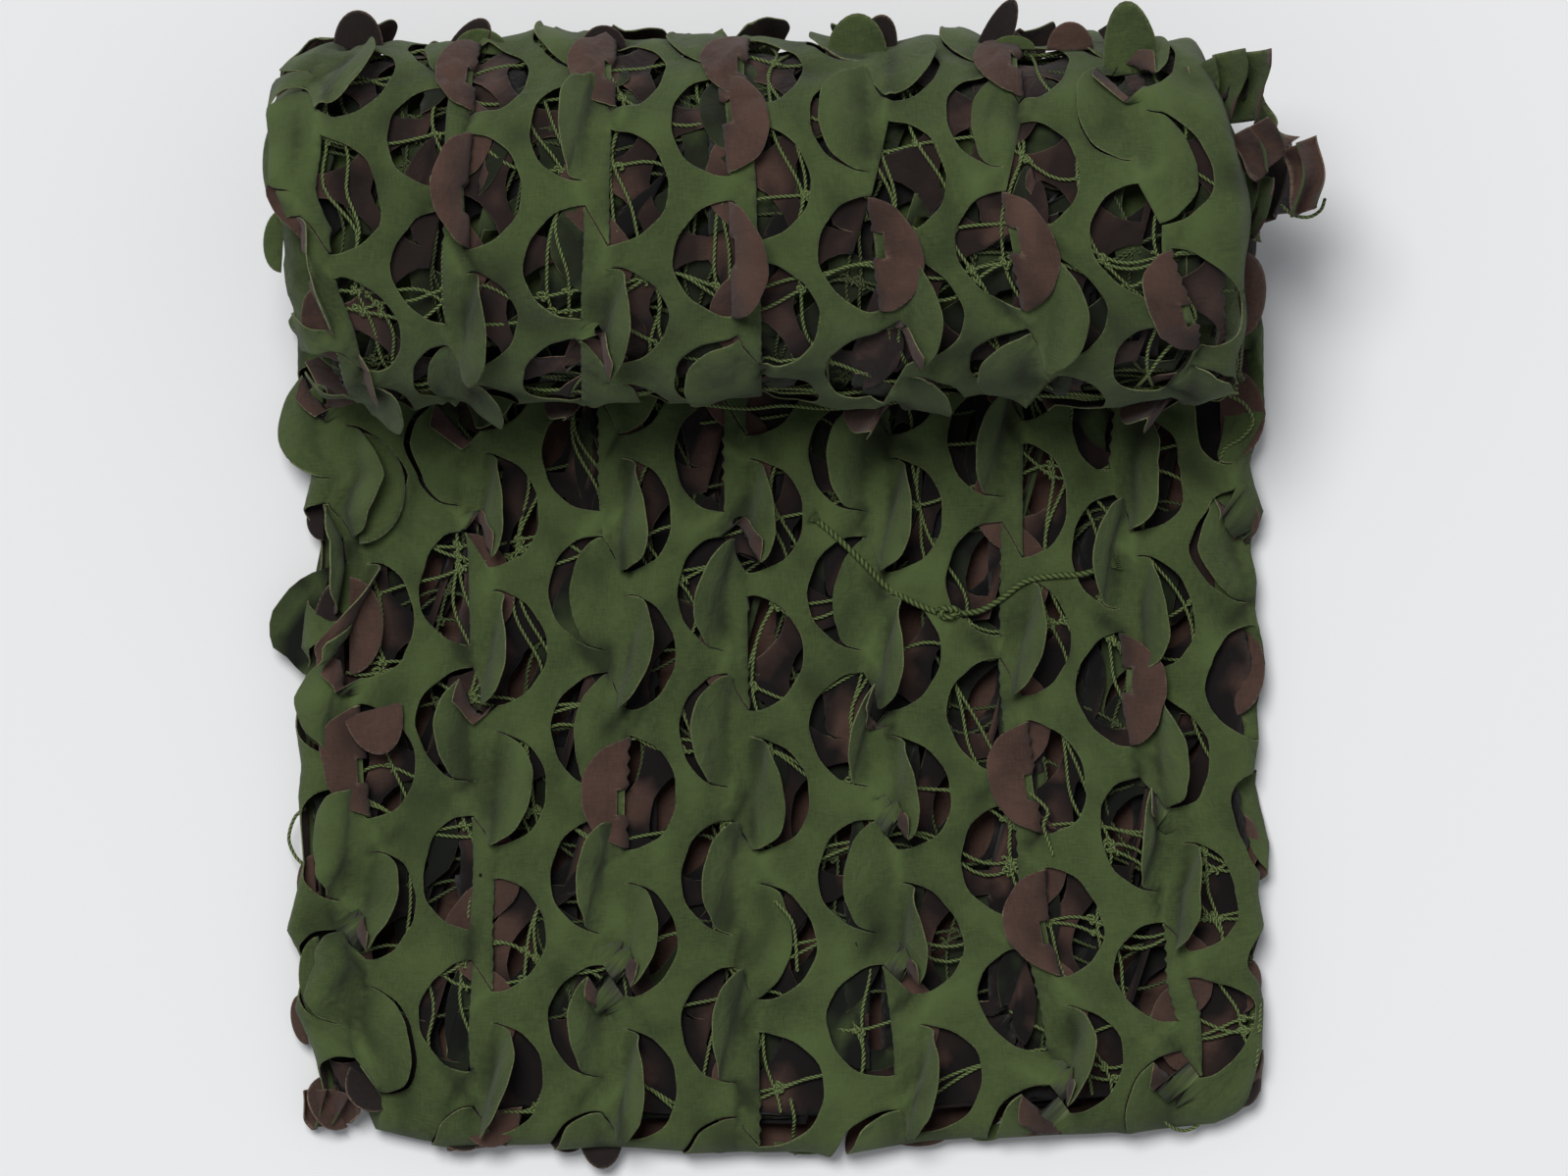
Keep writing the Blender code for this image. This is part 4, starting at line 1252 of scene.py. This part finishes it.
def group_node(tree, name, **values):
    """A node group's outputs, with these values of its inputs."""
    node = add_node(tree, "Group")
    node.node_tree = bpy.data.node_groups[name]
    for key, value in values.items():
        plug(tree, value, node.inputs[key.replace("_", " ")])
    return node.outputs


def mapped(tree, value, low, high):
    """The value, stretched from this range to 0 to 1."""
    node = add_node(tree, "MapRange", Value=value, From_Min=low, From_Max=high)
    return node.outputs["Result"]


def attribute(tree, name):
    """A value that the mesh keeps for each point."""
    node = add_node(tree, "Attribute")
    node.attribute_name = name
    return node.outputs["Fac"]


def shade(colour, factor):
    """The colour, so many times as bright."""
    return (*(c * factor for c in colour[:3]), 1.0)


def add_material(name, roughness, specular=0.5):
    """A material's node tree and its shader."""
    material = bpy.data.materials.new(name)
    material.use_nodes = True
    shader = material.node_tree.nodes["Principled BSDF"]
    shader.inputs["Roughness"].default_value = roughness
    shader.inputs["Specular IOR Level"].default_value = specular
    return material.node_tree, shader


def cloth_material(name, colour, pale):
    """Matt woven cloth, mottled and rumpled, with a pale frayed line along its cuts; painted shade
    in its troughs and under the rims of holes above it, painted highlight on its ridges.
    """
    tree, shader = add_material(name, 0.93, 0.22)
    weave = group_node(tree, "plain_weave", Threads=THREADS)
    mottle_rumple = group_node(tree, "used_cloth", Patch_Size=PATCHES)
    threads = mapped(tree, weave["Tone"], *TONE_RANGE)
    edge = math_node(tree, "POWER", attribute(tree, "fray"), 3.0)
    edge = math_node(tree, "MULTIPLY", edge, threads)
    tone = attribute(tree, "tone")
    base = shade(colour, 0.72)
    for factor, over in (
        (mapped(tree, mottle_rumple["Mottle"], 0.36, 0.66), shade(colour, 1.10)),
        (math_node(tree, "MULTIPLY", threads, 0.50), shade(colour, 1.50)),
        (math_node(tree, "MULTIPLY", edge, FRAY_STRENGTH), pale),
        # painted shade in the troughs and painted highlight on the ridges
        (mapped(tree, tone, -0.10, -1.10), shade(colour, 0.32)),
        (mapped(tree, tone, 0.05, 1.15), shade(colour, 1.62)),
        # painted shade under the rims of the holes above and in random patches
        (attribute(tree, "gloom"), shade(colour, 0.06)),
    ):
        base = colour_mix(tree, factor, base, over)
    bump = add_node(tree, "Bump", Strength=0.75, Distance=0.0027, Height=mottle_rumple["Rumple"])
    bump = add_node(
        tree, "Bump", Strength=0.35, Distance=0.00025, Height=weave["Height"],
        Normal=bump.outputs["Normal"],
    )
    plug(tree, base, shader.inputs["Base Color"])
    plug(tree, 0.07, shader.inputs["Sheen Weight"])
    plug(tree, 0.6, shader.inputs["Sheen Roughness"])
    plug(tree, bump.outputs["Normal"], shader.inputs["Normal"])


def edge_material(name, colour):
    """The cut edge of the cloth, where its threads fray."""
    tree, shader = add_material(name, 0.95, 0.15)
    weave = group_node(tree, "plain_weave", Threads=THREADS)
    threads = mapped(tree, weave["Tone"], *TONE_RANGE)
    base = colour_mix(tree, threads, shade(colour, 0.55), colour)
    plug(tree, base, shader.inputs["Base Color"])


def cord_material(name, colour, lay):
    """Twisted cord: pale strands with painted shade in the grooves between them."""
    tree, shader = add_material(name, 0.72, 0.3)
    height = group_node(tree, "laid_cord", Lay=lay)["Height"]
    # painted shade in the grooves between the strands
    groove_shade = mapped(tree, height, 0.05, 0.55)
    base = colour_mix(tree, groove_shade, shade(colour, 0.22), colour)
    bump = add_node(tree, "Bump", Strength=0.9, Distance=0.0008, Height=height)
    plug(tree, base, shader.inputs["Base Color"])
    plug(tree, bump.outputs["Normal"], shader.inputs["Normal"])


# ---------------------------------------------------------------- settings, operators and panel


def colour_property(name, description, default):
    return FloatVectorProperty(
        name=name,
        description=description,
        default=(*default, 1.0),
        size=4,
        min=0.0,
        max=1.0,
        subtype="COLOR",
    )


def length_property(name, description, default):
    return FloatProperty(name=name, description=description, default=default, unit="LENGTH")


class NetColours(bpy.types.PropertyGroup):
    """The colours of the cloth and the cord."""

    green: colour_property("Green", "The cloth's face", (0.0462, 0.0664, 0.0200))
    brown: colour_property("Brown", "The cloth's back", (0.0570, 0.0305, 0.0220))
    # The inner layers' green and brown are darker copies of the face and back: painted shade
    deep_green: colour_property("Deep green", "Face of the inner layers", (0.033, 0.048, 0.015))
    deep_brown: colour_property("Deep brown", "Back of the inner layers", (0.052, 0.0275, 0.020))
    # The innermost layer is painted near black, as the shade deep inside the net
    dark: colour_property("Dark", "The innermost layer", (0.0040, 0.0038, 0.0030))
    # Painted shade: leaves and crumples that stand in shade are nearly black
    shaded: colour_property("Shaded", "Leaves that look nearly black", (0.013, 0.0085, 0.007))
    pale_green: colour_property("Pale green", "Frayed threads of the face", (0.17, 0.19, 0.09))
    pale_brown: colour_property("Pale brown", "Frayed threads of the back", (0.20, 0.14, 0.10))
    net_cord: colour_property("Net cord", "The net's twisted cord", (0.150, 0.200, 0.066))
    tie_cord: colour_property("Tie cord", "The knotted tie", (0.090, 0.127, 0.036))
    floor: colour_property("Floor", "The studio floor", (0.80, 0.80, 0.80))


class NetSizes(bpy.types.PropertyGroup):
    """Sizes of the cloth and the cord that a user would change."""

    cloth_thickness: length_property("Cloth", "Thickness of the cloth", 0.0007)
    net_cord: length_property("Net cord", "Diameter of the net's cord", 0.0018)
    net_cell: length_property("Net cell", "Distance between the net's strands", 0.046)
    fine_step: length_property("Fine step", "Distance between points of the outer cloth", 0.0039)
    seed: IntProperty(name="Seed", description="Start of the uneven places", default=7)


class NET_OT_materials(bpy.types.Operator):
    """Make the cloth, edge and cord materials"""

    bl_idname = "net.materials"
    bl_label = "Materials"

    def execute(self, context):
        group = context.scene.net_colours
        colours = {name: tuple(getattr(group, name)) for name in NetColours.__annotations__}
        weave_group()
        mottle_rumple_group()
        twist_group()
        for name, colour, pale in (
            ("green_face", "green", "pale_green"),
            ("brown_back", "brown", "pale_brown"),
            # darker copies of the face and back for the inner layers: painted shade
            ("deep_green_cloth", "deep_green", "pale_green"),
            ("deep_brown_cloth", "deep_brown", "pale_brown"),
            # near black cloth of the innermost layer: painted shade
            ("dark_cloth", "dark", "deep_brown"),
            ("shaded_cloth", "shaded", "pale_brown"),
        ):
            cloth_material(name, colours[colour], colours[pale])
        edge_material("cut_edge_green", colours["pale_green"])
        edge_material("cut_edge_brown", colours["pale_brown"])
        cord_material("net_cord", colours["net_cord"], NET_LAY)
        # a darker copy of the cord for the lower nets: painted shade
        cord_material("deep_cord", shade(colours["net_cord"], 0.42), NET_LAY)
        cord_material("tie_cord", colours["tie_cord"], 160.0)
        tree, shader = add_material("studio_floor", 0.9)
        plug(tree, colours["floor"], shader.inputs["Base Color"])
        return {"FINISHED"}


def tongue_cloth():
    """The outer cloth of the free end."""
    section = Section(LEFT_EDGE - 0.001, RIGHT_EDGE + 0.003, 0.0085, 105, 105)
    return Cloth(
        tongue_path(), section, CLOTH_DEPTH, TONGUE_TURNS, TONGUE_FIRST_ROW, 3,
        creases=TONGUE_CREASES, puff=0.003, soft_start=0.03, soft_end=TONGUE_TOP_LENGTH + 0.012,
        drifts=TONGUE_DRIFT, steps=COLUMN_STEPS, spreads=True,
        insets=(LEFT_INSET, RIGHT_INSET, FRONT_INSET),
        drop_end=TONGUE_TOP_LENGTH - 0.005, taper=0.030,
    )


def roll_cloth():
    """The outer cloth of the roll."""
    section = Section(LEFT_EDGE - 0.010, RIGHT_EDGE - 0.013, 0.006, 60, 60)
    return Cloth(
        roll_path(), section, CLOTH_DEPTH, ROLL_LEAF_TURNS, ROLL_FIRST_ROW, 11,
        soft_start=0.12, soft_end=0.62, drifts=ROLL_DRIFT,
        insets=(ROLL_LEFT_INSET, ROLL_RIGHT_INSET, ()),
    )


def slipped_out(u, v):
    """How far the layers stick out of the roll's right end."""
    share = smooth((u - 0.10) / 0.14)
    return SLIPPED_OUT * np.exp(-(((v - SLIPPED_AT) / SLIPPED_LENGTH) ** 2)) * share


def random_leaves(seed):
    """Seeded leaf states; none of the leaves of the outer columns stands out past the outline."""
    rng = random.Random(seed)
    inner = [state for state in LAYER_STATES if state <= UNDER]
    picks = [inner if i in (0, COLUMNS - 1) else LAYER_STATES for i in range(COLUMNS)]
    return [[(rng.choice(pick), rng.choice(pick)) for _ in range(LAYER_ROWS)] for pick in picks]


def build_outer(name, cloth, edges_u, coarse, replaced):
    """The outer cloth of the free end or of the roll, over the whole of its path."""
    sizes = bpy.context.scene.net_sizes
    span, density = (0.0, cloth.path.length), (sizes.fine_step, *coarse, 28)
    obj = build_cloth(name, cloth, edges_u, span, density, OUTER_MATERIALS, sizes.cloth_thickness)
    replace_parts(obj, replaced)


def build_layers(
    name, depths, path, edges, first_row, column_step, seed, edges_u, span, coarse, replaced,
    **details,
):
    """Three layers of leaf-cut cloth inside the net, from the top down."""
    section = Section(*edges, 0.0022, FOLDED, FOLDED)
    for i, (letter, depth, face) in enumerate(zip("abc", depths, LAYER_MATERIALS)):
        leaves = random_leaves(bpy.context.scene.net_sizes.seed + seed + i)
        cloth = Cloth(
            path, section, depth, leaves, first_row + 0.02 * i, 20 + seed + i,
            shift=column_step * (i + 1) - 0.03, swell=0.0008, creased=0.3,
            ceiling=depth - 0.0035, banded=i < 2, insets=details["above"].insets, **details,
        )
        density, materials = (0.0068, *coarse, 14), LAYER_MATERIALS[face]
        obj = build_cloth(
            f"{name}_{letter}", cloth, edges_u, span, density, materials, LAYER_THICKNESS
        )
        if i == 0:
            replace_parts(obj, replaced)


class NET_OT_tongue_cloth(bpy.types.Operator):
    """Make the outer cloth of the free end"""

    bl_idname = "net.tongue_cloth"
    bl_label = "Free End Cloth"

    def execute(self, context):
        edges_u = (LEFT_EDGE - 0.030, RIGHT_EDGE + 0.022)
        coarse = (TONGUE_TOP_LENGTH + 0.035, 0.02)
        build_outer("free_end_cloth", tongue_cloth(), edges_u, coarse, "tongue_cloth")
        return {"FINISHED"}


class NET_OT_tongue_layers(bpy.types.Operator):
    """Make the layers of leaf-cut cloth inside the free end"""

    bl_idname = "net.tongue_layers"
    bl_label = "Free End Layers"

    def execute(self, context):
        span = (0.006, TONGUE_TOP_LENGTH - 0.004)
        build_layers(
            "free_end_layer", (0.0064, 0.0104, 0.0158), tongue_path(),
            edges=(LEFT_EDGE + 0.006, RIGHT_EDGE - 0.004), first_row=TONGUE_FIRST_ROW - 0.02,
            column_step=0.018, seed=0, edges_u=(LEFT_EDGE, RIGHT_EDGE + 0.004), span=span,
            coarse=(span[1], 0.02), replaced="tongue_folds", above=tongue_cloth(),
            soft_start=0.01, soft_end=TONGUE_TOP_LENGTH, rumple=0.0020,
        )
        return {"FINISHED"}


class NET_OT_roll_cloth(bpy.types.Operator):
    """Make the outer cloth of the roll and its turns inside"""

    bl_idname = "net.roll_cloth"
    bl_label = "Roll Cloth"

    def execute(self, context):
        edges_u = (LEFT_EDGE - 0.017, RIGHT_EDGE - 0.007)
        build_outer("roll_cloth_face", roll_cloth(), edges_u, (0.62, 0.014), "roll_cloth")
        return {"FINISHED"}


class NET_OT_roll_layers(bpy.types.Operator):
    """Make the layers of leaf-cut cloth inside the roll"""

    bl_idname = "net.roll_layers"
    bl_label = "Roll Layers"

    def execute(self, context):
        path = roll_path(FOLD_TURNS)
        build_layers(
            "roll_layer", (0.0066, 0.0106, 0.0158), path,
            edges=(LEFT_EDGE + 0.001, RIGHT_EDGE - 0.020), first_row=0.10,
            column_step=0.020, seed=10, edges_u=(LEFT_EDGE - 0.004, RIGHT_EDGE - 0.014),
            span=(0.03, path.length), coarse=(0.56, 0.011), replaced="roll_folds",
            above=roll_cloth(), soft_start=0.12, soft_end=1.4, rumple=0.0018,
            shade=0.82, slips=slipped_out,
        )
        return {"FINISHED"}


class NET_OT_loose_leaves(bpy.types.Operator):
    """Make the loose leaves and crumpled ends that stand out at the net's edges"""

    bl_idname = "net.loose_leaves"
    bl_label = "Loose Leaves"

    def execute(self, context):
        loose = {"green": GREEN_LEAVES, "brown": BROWN_LEAVES, "dark": PAINTED_SHADE_LEAVES}
        for colour, leaves in loose.items():
            build_scraps(f"loose_{colour}_leaves", add_leaf, leaves, colour)
        for colour in loose:
            crumples = [crumple for crumple in CRUMPLES if crumple[-1] == colour]
            build_scraps(f"crumpled_{colour}_ends", add_crumple, crumples, colour)
        return {"FINISHED"}


class NET_OT_nets(bpy.types.Operator):
    """Make the nets of cord under the cloth, and their strands that hang free"""

    bl_idname = "net.nets"
    bl_label = "Nets of Cord"

    def execute(self, context):
        sizes = context.scene.net_sizes
        tongue, roll = tongue_cloth(), roll_cloth()
        edges_u = (LEFT_EDGE + 0.008, RIGHT_EDGE - 0.008)
        for name, cloth, depth, span, replaced in (
            ("free_end_net", tongue, 0.0041, (0.012, 0.436), "tongue_net"),
            ("free_end_lower_net", tongue, 0.0084, (0.012, 0.43), None),
            ("roll_net_cord", roll, 0.0042, (0.10, 0.56), "roll_net"),
            ("roll_lower_net", roll, 0.0086, (0.10, 0.56), None),
        ):
            # the lower nets take the darker cord: painted shade
            size = sizes.net_cell, sizes.net_cord / 2, "net_cord" if replaced else "deep_cord"
            obj = build_net(name, cloth, depth, edges_u, span, *size)
            if replaced:
                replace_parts(obj, replaced)
        for name, route in STRAY_CORDS.items():
            add_cord(name, [photo_point(*point) for point in route], sizes.net_cord, "net_cord")
        return {"FINISHED"}


def add_frays(bm, uv_layer, end, ahead):
    """Loose strands that fan out from the tie's end."""
    beside = ahead.cross(Vector((0, 0, 1)))
    for k in range(-3, 4):
        up = Vector((0, 0, 0.0004 * (k % 2)))
        steps = [end + ahead * (0.0012 * j - 0.001) + beside * 0.00022 * k * j for j in range(7)]
        add_tube(bm, uv_layer, [point + up for point in steps], TIE_CORD / 9, 5)


def add_cord(name, route, diameter, look):
    """A free cord through the points of its route."""
    points = smooth_route(route, 0.0016)
    length = float(distances(points)[-1])
    bm, uv_layer = new_mesh()
    add_tube(bm, uv_layer, points, diameter / 2, 10)
    obj = finish_tubes(name, bm, look)
    return obj


def over_cloth(cloth, x, y, height):
    """The point so high over the free end's cloth at a place in plan."""
    v = BACK_OF_TONGUE_TOP - y
    lift = float(cloth.relief(x - cloth.drift([x], [v]), np.array([v]))[0])
    return x, y, TONGUE_HEIGHT + lift + height


class NET_OT_tie(bpy.types.Operator):
    """Make the knotted tie on the free end"""

    bl_idname = "net.tie"
    bl_label = "Tie"

    def execute(self, context):
        cloth = tongue_cloth()
        frays, fray_uv = new_mesh()
        for name, route, node in (
            ("tie_end_left", TIE_LEFT, "tie_left"),
            ("tie_end_right", TIE_RIGHT, "tie_right"),
        ):
            raised = [over_cloth(cloth, x, y, TIE_CORD / 2) for x, y in route]
            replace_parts(add_cord(name, raised, TIE_CORD, "tie_cord"), node)
            end = Vector(raised[-1])
            add_frays(frays, fray_uv, end, (end - Vector(raised[-2])).normalized())
        finish_tubes("tie_frayed_strands", frays, "tie_cord")
        bm, uv_layer = new_mesh()
        turns = np.linspace(0, 1, 60)
        angle = 2 * math.pi * TIE_TURNS * turns
        loops = (
            0.0040 * np.cos(angle) + 0.004 * (turns - 0.5),
            0.0024 * np.sin(angle),
            0.0016 * np.sin(angle * 1.5),
        )
        line = np.stack(loops, axis=1) + over_cloth(cloth, *TIE_KNOT, 0.0030)
        add_tube(bm, uv_layer, line, TIE_CORD / 2.1, 10)
        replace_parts(finish_tubes("tie_knot_cord", bm, "tie_cord"), "tie_knot")
        return {"FINISHED"}


def add_soft_light(name, towards, spread, strength):
    """Soft light from one side, equally strong everywhere."""
    data = bpy.data.lights.new(name, "SUN")
    data.angle = math.radians(spread)
    data.energy = strength
    obj = bpy.data.objects.new(name, data)
    bpy.context.scene.collection.objects.link(obj)
    obj.location = Vector(towards) * 2
    obj.rotation_euler = Vector(towards).to_track_quat("Z", "Y").to_euler()


class NET_OT_stage(bpy.types.Operator):
    """Make the pale floor, soft light and camera"""

    bl_idname = "net.stage"
    bl_label = "Stage"

    def execute(self, context):
        bm = bmesh.new()
        bmesh.ops.create_grid(bm, x_segments=1, y_segments=1, size=6.0)
        add_piece("studio_floor", bm, ["studio_floor"])
        scene = context.scene
        scene.view_settings.view_transform = "Standard"
        world = bpy.data.worlds.new("studio")
        scene.world = world
        world.use_nodes = True
        background = world.node_tree.nodes["Background"]
        background.inputs["Color"].default_value = (0.97, 0.99, 1.06, 1.0)
        background.inputs["Strength"].default_value = 0.33
        add_soft_light("key_light", towards=(-0.20, 0.38, 1.0), spread=26.0, strength=2.40)
        data = bpy.data.cameras.new("camera")
        camera = bpy.data.objects.new("camera", data)
        scene.collection.objects.link(camera)
        middle_x = (PHOTO_WIDTH / 2 - CENTRE_PIXEL[0]) * METRES_PER_PIXEL
        middle_y = (CENTRE_PIXEL[1] - PHOTO_HEIGHT / 2) * METRES_PER_PIXEL
        camera.location = (middle_x, middle_y, CAMERA_HEIGHT)
        data.sensor_width = 36.0
        width = PHOTO_WIDTH * METRES_PER_PIXEL
        data.lens = data.sensor_width * (CAMERA_HEIGHT - TONGUE_HEIGHT) / width
        data.clip_start, data.clip_end = 0.1, 50.0
        scene.camera = camera
        return {"FINISHED"}


OPERATORS = (
    NET_OT_materials,
    NET_OT_tongue_cloth,
    NET_OT_tongue_layers,
    NET_OT_roll_cloth,
    NET_OT_roll_layers,
    NET_OT_loose_leaves,
    NET_OT_nets,
    NET_OT_tie,
    NET_OT_stage,
)


class NET_PT_panel(bpy.types.Panel):
    """The net's pieces, in the order in which they are built"""

    bl_idname = "NET_PT_panel"
    bl_label = "Camouflage Net"
    bl_space_type = "VIEW_3D"
    bl_region_type = "UI"
    bl_category = "Camouflage Net"

    def draw(self, context):
        layout = self.layout
        for group in (context.scene.net_sizes, context.scene.net_colours):
            for name in group.bl_rna.properties.keys():
                if name not in ("rna_type", "name"):
                    layout.prop(group, name)
        for operator in OPERATORS:
            layout.operator(operator.bl_idname)


CLASSES = (NetColours, NetSizes, *OPERATORS, NET_PT_panel)


def register():
    for cls in CLASSES:
        bpy.utils.register_class(cls)
    bpy.types.Scene.net_sizes = PointerProperty(type=NetSizes)
    bpy.types.Scene.net_colours = PointerProperty(type=NetColours)


def unregister():
    del bpy.types.Scene.net_sizes
    del bpy.types.Scene.net_colours
    for cls in reversed(CLASSES):
        bpy.utils.unregister_class(cls)


def main():
    register()
    for operator in OPERATORS:
        group, name = operator.bl_idname.split(".")
        getattr(getattr(bpy.ops, group), name)()


if __name__ == "__main__":
    main()
